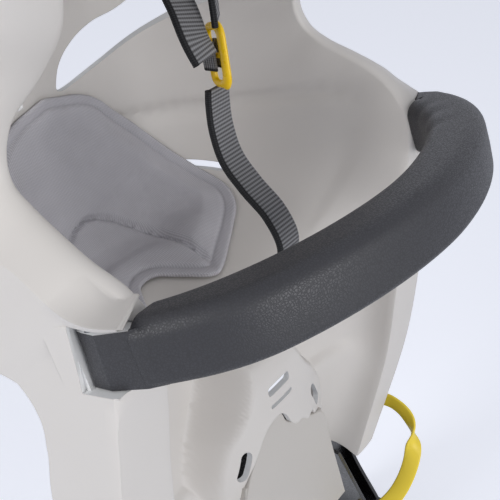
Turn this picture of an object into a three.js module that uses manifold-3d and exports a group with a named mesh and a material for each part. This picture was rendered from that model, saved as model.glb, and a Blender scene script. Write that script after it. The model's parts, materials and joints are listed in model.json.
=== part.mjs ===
// A child seat for a bicycle: a moulded shell with a rolled rim, a swinging safety bar, a soft pad,
// a harness with a slider and a buckle, sliding footrests, and the receiver that clips to the bicycle.
// Millimetres, +Z up. The child faces -Y and the child's right hand is towards -X.
// The seat is drawn from the middle of the arm ends, and the exported group puts the receiver's face at the origin.
import * as THREE from "three";
import { mergeVertices } from "three/addons/utils/BufferGeometryUtils.js";
import Module from "manifold-3d";

const wasm = await Module();
wasm.setup();

// Driving sizes
const seatDepth = 200; // arm ends back to the lumbar
const backHeight = 285; // arm ends up to the top of the back
const floorDrop = 103; // arm ends down to the seat floor
const legDrop = 325; // unit of height of the pommel and leg guards
const rimHalfWidth = 147; // middle of the seat out to the widest inner edge of the rim
const rollWidth = 31; // width of the rolled rim on the arms
const rollCrown = 6; // how far the roll stands above its edges
const shellWall = 4;
const pommelHalfWidth = 46;
const pommelRampWidth = 20; // width of the slope from the pommel into a leg channel
const fitGap = 0.3; // clearance where one piece rests on another
const runGap = 0.5; // clearance where one piece moves in another
const overrun = 2; // how far a cutter runs past what it cuts
const webWidth = 20; // harness webbing
const webThickness = 1.6;
const sides = 20; // facets of a round piece

const vector = (x, y, z) => new THREE.Vector3(x, y, z);
const smooth = (value) => THREE.MathUtils.smoothstep(value, 0, 1);

// Closed solids from points and triangles, and their booleans
function solidFrom(geometry) {
  const bare = geometry.clone();
  bare.deleteAttribute("normal");
  bare.deleteAttribute("uv");
  const merged = mergeVertices(bare, 1e-4);
  const corners = [...merged.index.array];
  const make = (list) => new wasm.Manifold(new wasm.Mesh({
    numProp: 3,
    vertProperties: merged.attributes.position.array,
    triVerts: new Uint32Array(list),
  }));
  const solid = make(corners);
  if (solid.volume() > 0) return solid;
  return make(corners.reverse());
}

function solidOf(points, triangles) {
  const geometry = new THREE.BufferGeometry().setFromPoints(points);
  geometry.setIndex(triangles);
  return solidFrom(geometry);
}

function geometryOf(solid) {
  const mesh = solid.getMesh();
  const points = [];
  for (let i = 0; i < mesh.numVert; i++) {
    points.push(vector(...mesh.vertProperties.slice(i * mesh.numProp, i * mesh.numProp + 3)));
  }
  const geometry = new THREE.BufferGeometry().setFromPoints(points);
  geometry.setIndex([...mesh.triVerts]);
  geometry.computeVertexNormals();
  return geometry;
}

const joined = (solids) => solids.reduce((whole, solid) => whole.add(solid));
const cutBy = (solid, cutters) => solid.subtract(joined(cutters));

// Rings of points, all of one length, joined into one solid and capped at both ends
function loft(rings) {
  const count = rings[0].length;
  const triangles = [];
  for (let r = 0; r + 1 < rings.length; r++) {
    for (let i = 0; i < count; i++) {
      const a = r * count + i;
      const b = r * count + ((i + 1) % count);
      triangles.push(a, b, b + count, a, b + count, a + count);
    }
  }
  const from = rings[0][0];
  const axis = vector(0, 0, 0);
  rings[0].forEach((p, i) => {
    axis.add(p.clone().sub(from).cross(rings[0][(i + 1) % count].clone().sub(from)));
  });
  axis.normalize();
  const across = rings[0][1].clone().sub(from).projectOnPlane(axis).normalize();
  const up = axis.clone().cross(across);
  const outline = rings[0].map((p) => new THREE.Vector2(
    p.clone().sub(from).dot(across),
    p.clone().sub(from).dot(up),
  ));
  const last = (rings.length - 1) * count;
  for (const [a, b, c] of THREE.ShapeUtils.triangulateShape(outline, [])) {
    triangles.push(a, c, b, last + a, last + b, last + c);
  }
  return solidOf(rings.flat(), triangles);
}

// An outline drawn in two axes and run along the third, named by its letter, from low to high
const axisPlaces = {
  x: (a, b, level) => vector(level, a, b),
  y: (a, b, level) => vector(a, level, b),
  z: (a, b, level) => vector(a, b, level),
};

function prism(points, low, high, axis) {
  const ring = (level) => points.map(([a, b]) => axisPlaces[axis](a, b, level));
  return loft([ring(low), ring(high)]);
}

const box = (x0, x1, y0, y1, z0, z1) => prism([[x0, y0], [x1, y0], [x1, y1], [x0, y1]], z0, z1, "z");

function circle(a, b, radius, count = sides) {
  return Array.from({ length: count }, (_, i) => {
    const turn = (i / count) * 2 * Math.PI;
    return [a + radius * Math.cos(turn), b + radius * Math.sin(turn)];
  });
}

const rod = (a, b, radius, low, high, axis) => prism(circle(a, b, radius), low, high, axis);

// A slot with round ends between two places
function slotOutline([a0, b0], [a1, b1], radius, steps = 6) {
  const heading = Math.atan2(b1 - b0, a1 - a0);
  const end = (a, b, start) => Array.from({ length: steps + 1 }, (_, i) => {
    const turn = start + (i / steps) * Math.PI;
    return [a + radius * Math.cos(turn), b + radius * Math.sin(turn)];
  });
  return [...end(a1, b1, heading - Math.PI / 2), ...end(a0, b0, heading + Math.PI / 2)];
}

// A rectangle with round corners, from the middle sideways and from low to high
function roundedOutline(half, low, high, corner) {
  const centres = [[half - corner, high - corner, 0], [corner - half, high - corner, 1],
    [corner - half, low + corner, 2], [half - corner, low + corner, 3]];
  return centres.flatMap(([x, z, quarter]) => Array.from({ length: 5 }, (_, i) => {
    const turn = (quarter + i / 4) * (Math.PI / 2);
    return [x + corner * Math.cos(turn), z + corner * Math.sin(turn)];
  }));
}

// Flat webbing along a route, with its width along the given directions, one for each point of the route
function ribbon(route, widths, width, thickness, steps, from = 0, to = 1) {
  const curve = new THREE.CatmullRomCurve3(route, false, "centripetal");
  const aims = new THREE.CatmullRomCurve3(widths, false, "centripetal");
  const rings = [];
  for (let i = 0; i <= steps; i++) {
    const along = THREE.MathUtils.lerp(from, to, i / steps);
    const heading = curve.getTangent(along);
    const across = aims.getPoint(along).projectOnPlane(heading).normalize();
    const face = heading.clone().cross(across);
    const place = curve.getPoint(along);
    rings.push([[-1, -1], [1, -1], [1, 1], [-1, 1]].map(([a, b]) => place.clone()
      .addScaledVector(across, (a * width) / 2)
      .addScaledVector(face, (b * thickness) / 2)));
  }
  return loft(rings);
}

const part = new THREE.Group();
const materials = {
  shell: new THREE.MeshStandardMaterial({ color: 0xd8d5d2, roughness: 0.5, metalness: 0 }),
  bar: new THREE.MeshStandardMaterial({ color: 0x3c3c42, roughness: 0.6, metalness: 0 }),
  black: new THREE.MeshStandardMaterial({ color: 0x141416, roughness: 0.4, metalness: 0 }),
  knit: new THREE.MeshStandardMaterial({ color: 0x98969a, roughness: 0.95, metalness: 0 }),
  webbing: new THREE.MeshStandardMaterial({ color: 0x4a4a4e, roughness: 0.9, metalness: 0 }),
  yellow: new THREE.MeshStandardMaterial({ color: 0xf8c80f, roughness: 0.4, metalness: 0 }),
  steel: new THREE.MeshStandardMaterial({ color: 0xb4b6ba, roughness: 0.3, metalness: 1 }),
};

function add(name, solid, material) {
  const mesh = new THREE.Mesh(geometryOf(solid), materials[material]);
  mesh.name = name;
  part.add(mesh);
}

const mirrored = (solid) => solid.mirror([1, 0, 0]);

// Stations down the back, over the floor and down the front. Each table gives shares of the driving sizes:
// middle and channel are depth and height, rim is half width, depth and height, skirt is depth and height.
const backShares = {
  middle: [[1.3, 0.945], [1.29, 0.99], [1.245, 1.005], [1.21, 0.97], [1.18, 0.86], [1.155, 0.72],
    [1.125, 0.57], [1.095, 0.43], [1.06, 0.28], [1.03, 0.13], [1, 0]],
  rim: [[0.74, 1.16, 0.93], [0.75, 1.14, 0.965], [0.76, 1.1, 0.975], [0.78, 1.03, 0.955], [0.85, 0.8, 0.915],
    [0.86, 0.53, 0.84], [0.82, 0.34, 0.72], [0.78, 0.26, 0.59], [0.79, 0.28, 0.47], [0.85, 0.36, 0.37],
    [0.91, 0.42, 0.29]],
  skirt: [[1.22, 0.9], [1.22, 0.9], [1.21, 0.9], [1.15, 0.88], [1, 0.83], [0.8, 0.74], [0.65, 0.62],
    [0.6, 0.5], [0.63, 0.36], [0.68, 0.22], [0.72, 0.1]],
  roll: [0.35, 0.4, 0.5, 0.6, 0.9, 1.25, 1.55, 1.7, 1.65, 1.4, 1.15],
};
const floorShares = {
  middle: [[0.97, 0.4], [0.915, 0.74], [0.78, 0.95], [0.55, 0.99], [0.3, 1.01]],
  rim: [[0.935, 0.43, 0.225], [0.94, 0.4, 0.18], [0.935, 0.33, 0.15], [0.925, 0.23, 0.126],
    [0.915, 0.12, 0.105]],
  skirt: [[0.74, 0], [0.72, -0.06], [0.64, -0.1], [0.52, -0.125], [0.4, -0.14]],
  roll: [1.02, 1, 1, 1, 1],
};
const frontShares = {
  middle: [[0.065, 0.348], [0.03, 0.378], [0.005, 0.435], [-0.02, 0.492], [-0.045, 0.545], [-0.05, 0.565],
    [0.03, 0.572], [0.12, 0.58], [0.12, 0.66], [0.12, 0.73], [0.12, 0.795]],
  channel: [[0.26, 0.335], [0.235, 0.372], [0.215, 0.435], [0.19, 0.492], [0.17, 0.54], [0.16, 0.56],
    [0.15, 0.568], [0.12, 0.58], [0.12, 0.66], [0.12, 0.73], [0.12, 0.795]],
  rim: [[0.905, 0, -0.072], [0.885, -0.06, -0.018], [0.87, -0.07, 0.13], [0.865, -0.07, 0.25],
    [0.86, -0.075, 0.36], [0.855, -0.075, 0.44], [0.85, -0.075, 0.52], [0.82, -0.075, 0.6],
    [0.75, -0.075, 0.68], [0.68, -0.075, 0.75], [0.59, -0.075, 0.84]],
  skirt: [[0.3, 0.14], [0.225, 0.175], [0.195, 0.235], [0.195, 0.32], [0.195, 0.4], [0.2, 0.48],
    [0.19, 0.55], [0.17, 0.62], [0.14, 0.7], [0.1, 0.77], [0.05, 0.84]],
  roll: [1, 1.05, 1.12, 1.2, 1.2, 1.2, 1.2, 1.15, 1.1, 1, 0.85],
  pommel: [0.4, 0.47, 0.66, 0.86, 1.04, 1.08, 1.1, 1.1, 1.1, 1.1, 1.1],
};

const profile = (depthShares, height) => depthShares.map(([y, z]) => vector(0, y * seatDepth, z * height));
const edge = (shares, height) => shares.map(([x, y, z]) => vector(x * rimHalfWidth, y * seatDepth, z * height));
const through = (points) => new THREE.CatmullRomCurve3(points, false, "centripetal");
const upperMiddle = [...profile(backShares.middle, backHeight), ...profile(floorShares.middle, -floorDrop)];
const middleCurve = through([...upperMiddle, ...profile(frontShares.middle, -legDrop)]);
const channelCurve = through([...upperMiddle, ...profile(frontShares.channel, -legDrop)]);
const rimCurve = through([
  ...edge(backShares.rim, backHeight),
  ...edge(floorShares.rim, backHeight),
  ...edge(frontShares.rim, -legDrop),
]);
const skirtCurve = through([
  ...profile(backShares.skirt, backHeight),
  ...profile(floorShares.skirt, backHeight),
  ...profile(frontShares.skirt, -legDrop),
]);
const rollShares = [...backShares.roll, ...floorShares.roll, ...frontShares.roll];
const pommelShares = [...upperMiddle.map(() => frontShares.pommel[0]), ...frontShares.pommel];
const lastStation = rollShares.length - 1;

function between(shares, along) {
  const place = along * lastStation;
  const from = Math.min(lastStation - 1, Math.floor(place));
  return THREE.MathUtils.lerp(shares[from], shares[from + 1], place - from);
}

// The shell's inner face: along runs from the top of the back to the ends of the leg guards, and x is from the middle.
const sectionPower = 3.2;
function shellPoint(along, x) {
  const middle = middleCurve.getPoint(along);
  const channel = channelCurve.getPoint(along);
  const rim = rimCurve.getPoint(along);
  const pommel = pommelHalfWidth * between(pommelShares, along);
  const share = Math.min(1, Math.abs(x) / rim.x);
  const rise = 1 - (1 - share ** sectionPower) ** (1 / sectionPower);
  const place = middle.lerp(channel, smooth((Math.abs(x) - pommel) / pommelRampWidth));
  place.lerp(rim, rise);
  return place.setX(x);
}

// The rolled rim and the skirt outside the shell's edge
function rollPoint(along, share) {
  const rim = rimCurve.getPoint(along);
  const run = rimCurve.getTangent(along).setX(0).normalize();
  const lift = rollCrown * Math.sin(share * Math.PI) ** 0.7;
  const width = rollWidth * between(rollShares, along);
  return rim.add(vector((width * (1 - Math.cos(share * Math.PI))) / 2, run.z * lift, -run.y * lift));
}

function skirtPoint(along, share) {
  const outer = rollPoint(along, 1);
  const free = skirtCurve.getPoint(along).setX(outer.x + overrun);
  return outer.lerp(free, share);
}

// Columns bunch on the pommel's slope and where the wall turns up into the rim.
const pommelColumnShares = [0, 0.5, 1];
const slopeColumnShares = [1 / 3, 2 / 3, 1];
const wallColumnShares = [0.2, 0.4, 0.6, 0.8, 1];
const rollColumnShares = [0.2, 0.5, 0.8, 1];
const backColumnShare = 0.3; // where the bunch lies on the back, of the half width
const bunchFromShare = 0.423; // down the shell: from here the bunch moves onto the pommel's ramp
const bunchOverShare = 0.192; // and this much further down it lies there
function halfRow(along) {
  const rim = rimCurve.getPoint(along);
  const reach = smooth((along - bunchFromShare) / bunchOverShare);
  const pommel = THREE.MathUtils.lerp(backColumnShare * rim.x, pommelHalfWidth * between(pommelShares, along), reach);
  const start = Math.asin(((pommel + pommelRampWidth) / rim.x) ** (sectionPower / 2));
  const places = [
    ...pommelColumnShares.map((share) => share * pommel),
    ...slopeColumnShares.map((share) => pommel + share * pommelRampWidth),
    ...wallColumnShares.map((share) => (
      rim.x * Math.sin(start + share * (Math.PI / 2 - start)) ** (2 / sectionPower))),
  ];
  return [
    ...places.map((x) => shellPoint(along, x)),
    ...rollColumnShares.map((share) => rollPoint(along, share)),
    skirtPoint(along, 1),
  ];
}

const acrossMirror = (p) => vector(-p.x, p.y, p.z);
const halfStations = [3.5, 4.5, 5.5, 6.5, 7.5, 8.5, 9.5, 11.5, 12.5, 13.5, 14.5, 16.5, 17.5, 18.5];
const rowStations = [...Array(lastStation + 1).keys(), ...halfStations].sort((a, b) => a - b);
const shellRows = rowStations.map((station) => {
  const half = halfRow(station / lastStation);
  return [...half.slice(1).reverse().map(acrossMirror), ...half];
});

// Unit directions out of the back of a sheet of points
function backsOf(rows) {
  return rows.map((row, r) => row.map((_, c) => {
    const down = rows[Math.min(rows.length - 1, r + 1)][c].clone().sub(rows[Math.max(0, r - 1)][c]);
    const over = row[Math.min(row.length - 1, c + 1)].clone().sub(row[Math.max(0, c - 1)]);
    return over.cross(down).normalize();
  }));
}

// A closed wall between two sheets of points
function wallBetween(front, back) {
  const height = front.length;
  const width = front[0].length;
  const at = (side, r, c) => (side * height + r) * width + c;
  const triangles = [];
  const quad = (a, b, c, d) => triangles.push(a, b, c, a, c, d);
  for (let r = 0; r + 1 < height; r++) {
    for (let c = 0; c + 1 < width; c++) {
      quad(at(0, r, c), at(0, r, c + 1), at(0, r + 1, c + 1), at(0, r + 1, c));
      quad(at(1, r, c), at(1, r + 1, c), at(1, r + 1, c + 1), at(1, r, c + 1));
    }
    quad(at(0, r, 0), at(0, r + 1, 0), at(1, r + 1, 0), at(1, r, 0));
    quad(at(0, r + 1, width - 1), at(0, r, width - 1), at(1, r, width - 1), at(1, r + 1, width - 1));
  }
  for (let c = 0; c + 1 < width; c++) {
    quad(at(0, 0, c + 1), at(0, 0, c), at(1, 0, c), at(1, 0, c + 1));
    quad(at(0, height - 1, c), at(0, height - 1, c + 1), at(1, height - 1, c + 1), at(1, height - 1, c));
  }
  return solidOf([...front.flat(), ...back.flat()], triangles);
}

const shifted = (rows, ways, reach) => rows.map((row, r) => row.map((p, c) => (
  p.clone().addScaledVector(ways[r][c], typeof reach === "number" ? reach : reach(r, c)))));
let shell = wallBetween(shellRows, shifted(shellRows, backsOf(shellRows), shellWall));

// Back of the pommel's underside, where the receiver, the footrests and their fasteners sit
const standFace = frontShares.middle[8][0] * seatDepth;
const standBack = standFace + shellWall;
const pommelEnd = -frontShares.middle[7][1] * legDrop;
const guardEnd = -frontShares.middle[10][1] * legDrop;
// Points whose last number is a drop below a level: the pommel's end or the end of the leg guards
const below = (level, points) => points.map((point) => [...point.slice(0, -1), level - point[point.length - 1]]);

// Safety bar, drawn in its own plane, which rises forward from the arm ends
const barOutside = 8; // from the rim's widest inner edge out to the bar's ends
const pinOutside = 9.5; // and out to the pin
const barHalfSpan = rimHalfWidth + barOutside;
const barBulge = 93;
const barRise = 21; // degrees
const barHeight = 36;
const barThickness = 35;
const barCurvePower = 1.8;
const barSectionPower = 3.5;
const barRoot = 24; // arm ends forward to where the full section starts
const pinPlace = rimHalfWidth + pinOutside;
const pinRadius = 3;
const tongueRadius = 9;
const tongueHeight = 32;
const barSteps = 26;
const barSectionSteps = 16;
const inBarPlane = (solid) => solid.rotate([-barRise, 0, 0]);
const rounded = (value, power) => Math.sign(value) * Math.abs(value) ** (2 / power);

function barSolid() {
  const start = Math.asin((barRoot / barBulge) ** (barCurvePower / 2));
  const route = Array.from({ length: barSteps + 1 }, (_, i) => {
    const turn = start + (i / barSteps) * (Math.PI - 2 * start);
    return vector(
      barHalfSpan * rounded(Math.cos(turn), barCurvePower),
      -barBulge * rounded(Math.sin(turn), barCurvePower),
      0,
    );
  });
  const rings = route.map((place, i) => {
    const run = route[Math.min(barSteps, i + 1)].clone().sub(route[Math.max(0, i - 1)]).normalize();
    if (i === 0 || i === barSteps) run.set(0, i === 0 ? -1 : 1, 0);
    const out = run.clone().cross(vector(0, 0, 1));
    return Array.from({ length: barSectionSteps }, (_, k) => {
      const turn = (k / barSectionSteps) * 2 * Math.PI;
      return place.clone()
        .addScaledVector(out, (barThickness / 2) * rounded(Math.cos(turn), barSectionPower))
        .add(vector(0, 0, (barHeight / 2) * rounded(Math.sin(turn), barSectionPower)));
    });
  });
  const inTongue = barRoot + rollCrown;
  const round = slotOutline([-pinPlace, -inTongue], [-pinPlace, 0], tongueRadius);
  const square = [
    [pinPlace - tongueRadius, -inTongue],
    [pinPlace + tongueRadius, -inTongue],
    [pinPlace + tongueRadius, tongueRadius - overrun],
    [pinPlace - tongueRadius, tongueRadius - overrun],
  ];
  const tongues = [round, square].map((outline) => prism(outline, -tongueHeight / 2, tongueHeight / 2, "z"));
  const bore = rod(-pinPlace, 0, pinRadius + fitGap, -barHeight, barHeight, "z");
  return cutBy(joined([loft(rings), ...tongues]), [bore]);
}

// Housings under both arm ends: a block joined to the shell, with a pocket for the bar's tongue
const housingWall = 5.5; // outside the tongue's room
const housingInnerWall = 10.5;
const housingInner = pinPlace - tongueRadius - housingInnerWall;
const housingOuter = pinPlace + tongueRadius + housingWall;
const housingFront = -12;
const housingBack = 28;
const housingHeight = 40;
const pocketHeight = tongueHeight + 2 * runGap;
const pocketFront = -barRoot - barThickness;
const housing = box(housingInner, housingOuter, housingFront, housingBack, -housingHeight / 2, housingHeight / 2);
const pocketInner = pinPlace - tongueRadius - overrun;
const latchPocket = box(
  pocketInner, pinPlace + tongueRadius + runGap,
  pocketFront, tongueRadius + runGap,
  -pocketHeight / 2, pocketHeight / 2,
);
const hingePocket = box(
  -housingOuter - tongueRadius, -pocketInner,
  pocketFront, tongueRadius + 2 * runGap,
  -pocketHeight / 2, pocketHeight / 2,
);
const pinHeadRadius = 5;
const pinHeadHeight = 2;
const pinStand = housingHeight / 2 + fitGap;
const pinHeadRoom = pinStand + pinHeadHeight + runGap;
const pinBore = joined([
  rod(-pinPlace, 0, pinRadius + fitGap, -pinHeadRoom, pinHeadRoom, "z"),
  rod(-pinPlace, 0, pinHeadRadius + fitGap, housingHeight / 2, pinHeadRoom, "z"),
  rod(-pinPlace, 0, pinHeadRadius + fitGap, -pinHeadRoom, -housingHeight / 2, "z"),
]);

// Latch button in the outer wall of the far arm end
const latchRadius = 7;
const latchPlace = -2;
const latchStand = 6; // how far it stands out of the wall
const latchTravel = 2.5;
const latchInner = pinPlace + tongueRadius + latchTravel + runGap;
const latchOuter = housingOuter + latchStand;
const latchBore = rod(latchPlace, 0, latchRadius + runGap, pinPlace, latchOuter, "x");

shell = joined([shell, inBarPlane(housing), inBarPlane(mirrored(housing))]);
shell = cutBy(shell, [latchPocket, hingePocket, pinBore, latchBore].map(inBarPlane));

add("safety_bar", inBarPlane(barSolid()), "bar");

add("bar_hinge_pin", inBarPlane(joined([
  rod(-pinPlace, 0, pinRadius, -pinStand, pinStand, "z"),
  rod(-pinPlace, 0, pinHeadRadius, pinStand, pinStand + pinHeadHeight, "z"),
  rod(-pinPlace, 0, pinHeadRadius, -pinStand - pinHeadHeight, -pinStand, "z"),
])), "steel");
add("bar_latch_button", inBarPlane(rod(latchPlace, 0, latchRadius, latchInner, latchOuter, "x")), "bar");

// Openings in the back: one leaf-shaped vent on each side of the middle rib, and two pairs of harness slots
const ventShares = [[0.11, 0.07], [0.4, 0.105], [0.62, 0.18], [0.7, 0.228], [0.75, 0.28], [0.735, 0.335],
  [0.69, 0.36], [0.65, 0.335], [0.6, 0.285], [0.49, 0.23], [0.375, 0.207], [0.265, 0.178], [0.17, 0.14],
  [0.125, 0.105]];
const backCutFront = seatDepth / 2;
const backCutBack = seatDepth * 2;
const vent = prism(
  ventShares.map(([x, z]) => [x * rimHalfWidth, z * backHeight]),
  backCutFront, backCutBack, "y",
);
const slotDrop = 3; // half height of a webbing slot
const shoulderSpread = 38;
const shoulderShare = 0.73; // upper slots, of the back's height
const shoulderHeight = shoulderShare * backHeight;
const shoulderStep = 40; // between the pairs of slots
const slotReach = webWidth / 2 + overrun;
const backSlots = [0, -shoulderStep].map((drop) => prism(
  slotOutline(
    [shoulderSpread - slotReach, shoulderHeight + drop],
    [shoulderSpread + slotReach, shoulderHeight + drop],
    slotDrop,
  ),
  backCutFront, backCutBack, "y",
));

// Slots and ovals of the pommel, the crotch strap's slot in the floor, and a belt slot in each side
const pommelSlotRise = 51.5; // from the end of the pommel up to the slot
const pommelSlitRise = 40;
const pommelSlotHeight = pommelEnd + pommelSlotRise;
const pommelSlotHalf = 12;
const pommelSlitHeight = pommelEnd + pommelSlitRise;
const slotHalfHeights = [3.4, 1.3];
const frontCutFront = -seatDepth / 4;
const frontCutBack = 4 * shellWall;
const frontCutters = [pommelSlotHeight, pommelSlitHeight].map((height, i) => {
  const half = slotHalfHeights[i];
  return box(
    -pommelSlotHalf, pommelSlotHalf,
    frontCutFront, frontCutBack,
    height - half, height + half,
  );
});
const [ovalPlace] = below(pommelEnd, [[41, -17.5]]);
const ovalHalf = 5.5;
const ovalLean = 2.5;
const ovalRadius = 2.6;
const oval = prism(
  slotOutline(
    [ovalPlace[0] - ovalLean, ovalPlace[1] + ovalHalf],
    [ovalPlace[0] + ovalLean, ovalPlace[1] - ovalHalf],
    ovalRadius,
  ),
  frontCutFront, frontCutBack, "y",
);
const crotchSlotDepth = 40;
const crotchSlot = box(
  -slotReach, slotReach,
  crotchSlotDepth - slotDrop, crotchSlotDepth + slotDrop,
  -floorDrop - frontCutBack, -floorDrop + frontCutBack,
);
const beltSlotPlace = [150, -62];
const beltSlotHalf = 15;
const beltSlot = prism(
  slotOutline(
    [beltSlotPlace[0] - beltSlotHalf, beltSlotPlace[1]],
    [beltSlotPlace[0] + beltSlotHalf, beltSlotPlace[1]],
    slotDrop,
  ),
  rimHalfWidth / 2, rimHalfWidth, "x",
);

// Front panel below the pommel's lip, drawn as half an outline from the middle outwards
const panelTop = below(pommelEnd, [[0, -22.5], [6, -23.5], [13, -29], [22, -31.5], [31, -28], [38, -20.5]]);
const panelSide = below(pommelEnd, [[48, 4.5], [72, 110.5]]);
const panelWall = 4;
const panelRecess = 3; // how far it lies behind the lip
const panelFlange = 12;
const panelGap = 0.6;
const panelLeanRatio = 0.115; // forward for each millimetre down
const lipFace = frontShares.middle[3][0] * seatDepth;
const panelFace = (height) => lipFace + panelRecess + panelLeanRatio * (height - panelTop[3][1]);
function panelOutline(grow) {
  const half = [...panelTop.map(([x, z]) => [x, z + grow]), ...panelSide.map(([x, z]) => [x + grow, z])];
  return [...half, ...half.slice(1).reverse().map(([x, z]) => [-x, z])];
}
const slantedPlate = (outline, near, far) => loft([near, far].map((offset) => (
  outline.map(([x, z]) => vector(x, panelFace(z) + offset, z)))));
const pommelWindow = slantedPlate(panelOutline(panelGap), frontCutFront, frontCutBack);

// Receiver behind the panel: the black block that takes the bicycle's bracket
const receiverTop = pommelEnd - shellWall - fitGap;
const receiverBottom = panelSide[1][1] - fitGap;
const receiverHalfTop = 40;
const receiverHalfBottom = 56;
const receiverRear = 52;
const rearBlockGap = 6.5; // from the end of the leg guards down to its top
const rearBlockTop = guardEnd - rearBlockGap;
const rearBlockHalf = 34;
const socketInner = 18;
const socketOuter = 34;
const socketDepth = 34;
const socketHalf = 8;
const receiverMiddle = (receiverRear + panelFace(receiverBottom) + panelWall) / 2;
const screwPlaces = below(pommelEnd, [[28, 19.5], [28, 51.5], [-28, 19.5], [-28, 51.5]]);
const screwRadius = 2.2;
const screwDepth = 16;
const bossHeight = 2;
const bossRadius = 7;
const screwHeadRadius = 5.5;
const screwHeadHeight = 3;
function receiverSolid() {
  const seat = standFace - 3 * fitGap;
  const ring = (half, height) => {
    const front = panelFace(height) + panelWall + fitGap;
    const back = seat - bossHeight;
    return [vector(-half, front, height), vector(half, front, height), vector(half, back, height),
      vector(-half, back, height)];
  };
  const block = loft([ring(receiverHalfTop, receiverTop), ring(receiverHalfBottom, receiverBottom)]);
  const rear = box(
    -rearBlockHalf, rearBlockHalf, seat - 2 * bossHeight, receiverRear,
    receiverBottom, rearBlockTop,
  );
  const sockets = [-1, 1].map((side) => box(
    Math.min(side * socketInner, side * socketOuter), Math.max(side * socketInner, side * socketOuter),
    receiverMiddle - socketHalf, receiverMiddle + socketHalf,
    receiverBottom - overrun, receiverBottom + socketDepth,
  ));
  const screws = screwPlaces.map(([x, z]) => rod(
    x, z, screwRadius + fitGap, standFace - screwDepth - fitGap, standFace + overrun, "y",
  ));
  const bosses = screwPlaces.map(([x, z]) => rod(x, z, bossRadius, seat - 2 * bossHeight, seat, "y"));
  return cutBy(joined([block, rear, ...bosses]), [...sockets, ...screws, releasePocket]);
}

// Release button at the back of the receiver
const releaseHalfWidth = 13;
const releaseHalfHeight = 7;
const releaseDrop = 93.5; // from the end of the pommel down to its middle
const releaseHeight = pommelEnd - releaseDrop;
const releaseDepth = 12;
const releaseTravel = 4;
const releaseStand = 7;
const releasePocket = box(
  -releaseHalfWidth - runGap, releaseHalfWidth + runGap,
  receiverRear - releaseDepth - releaseTravel, receiverRear + overrun,
  releaseHeight - releaseHalfHeight - runGap, releaseHeight + releaseHalfHeight + runGap,
);
const release = box(
  -releaseHalfWidth, releaseHalfWidth,
  receiverRear - releaseDepth, receiverRear + releaseStand,
  releaseHeight - releaseHalfHeight, releaseHeight + releaseHalfHeight,
);

// Footrests: a blade behind the shell, a sole and two flanges, sliding down and outwards together
const footSlantRatio = 0.36; // outwards for each millimetre of travel
const footWall = 3.5;
const footSoleDrop = 140.625; // from the end of the leg guards down to the sole
const footSole = guardEnd - footSoleDrop;
const footBack = standBack + fitGap + footWall;
const toe = -62;
const innerEdge = below(guardEnd, [[74, 5.625], [86, 39.625], [100, 81.625], [105, footSoleDrop]]);
const outerEdge = below(guardEnd, [[147, -2.375], [152, 41.625], [156, 81.625], [160, footSoleDrop]]);
const innerFront = [-7, -14, -24, toe];
const outerFront = [6, -4, -24, toe];
const bladeTopRise = 58.375; // from the end of the leg guards up to the blade's top
const bladeTop = below(guardEnd, [[50, -bladeTopRise], [76, -bladeTopRise]]);
const [bladeShoulder] = below(guardEnd, [[100, 8.625]]);
const bladeMiddle = (bladeTop[0][0] + bladeTop[1][0]) / 2;
function flange(edges, fronts, inward) {
  const outline = [
    ...edges.map(([x, z], i) => [x, fronts[i], z]),
    ...edges.map(([x, z]) => [x, footBack, z]).reverse(),
  ];
  return loft([0, inward * footWall].map((offset) => outline.map(([x, y, z]) => vector(x + offset, y, z))));
}
function footrestSolid() {
  const blade = prism([
    ...bladeTop,
    bladeShoulder,
    ...outerEdge.slice(1),
    ...[...innerEdge].reverse(),
  ], footBack - footWall, footBack, "y");
  const sole = box(innerEdge[3][0], outerEdge[3][0], toe, footBack, footSole, footSole + footWall);
  const whole = joined([blade, sole, flange(innerEdge, innerFront, 1), flange(outerEdge, outerFront, -1)]);
  return whole;
}

// Guides behind the shell that hold the blades: each is a cover on two legs with an ear, and has a lock button
const guideRise = 16.375; // from the end of the leg guards up to a guide's middle
const guideHeight = guardEnd + guideRise;
const guidePlace = [bladeMiddle + footSlantRatio * (bladeTopRise - guideRise), guideHeight];
const guideTurn = THREE.MathUtils.radToDeg(Math.atan(footSlantRatio));
const guideHalf = 8; // half length along the blade
const guideLeg = 4;
const guideEar = 10;
const guideCover = 5;
const bladeHalf = ((bladeTop[1][0] - bladeTop[0][0]) / 2) * Math.cos(Math.atan(footSlantRatio));
const guideRoom = bladeHalf + runGap;
const guideFoot = standBack + fitGap;
const guideFace = footBack + runGap + guideCover;
const guideScrewRadius = 1.6;
const guideScrewHead = 3.2;
const guideScrewDepth = 3;
const guideScrewDrops = [-4.5, 4.5];
const guideScrewAcross = -guideRoom - guideLeg - guideEar / 2;
const lockRadius = 5;
const lockTravel = 2.5;
const lockStand = 5;
const lockInner = footBack + runGap + lockTravel;
const onGuide = (solid) => solid.rotate([0, -guideTurn, 0]).translate([guidePlace[0], 0, guidePlace[1]]);
const guideScrewBore = (drop, low) => rod(guideScrewAcross, drop, guideScrewRadius + fitGap, low,
  guideFace, "y");
function guideSolid() {
  const outer = guideRoom + guideLeg;
  return cutBy(
    joined([
      box(-outer, outer, guideFoot, guideFace, -guideHalf, guideHalf),
      box(-outer - guideEar, -outer + overrun, guideFoot, guideFoot + footWall, -guideHalf, guideHalf),
    ]),
    [
      box(-guideRoom, guideRoom, guideFoot - overrun, footBack + runGap, -guideHalf * 2, guideHalf * 2),
      rod(0, 0, lockRadius + runGap, footBack, guideFace + overrun, "y"),
      ...guideScrewDrops.map((drop) => guideScrewBore(drop, guideFoot - overrun)),
    ],
  );
}

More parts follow.
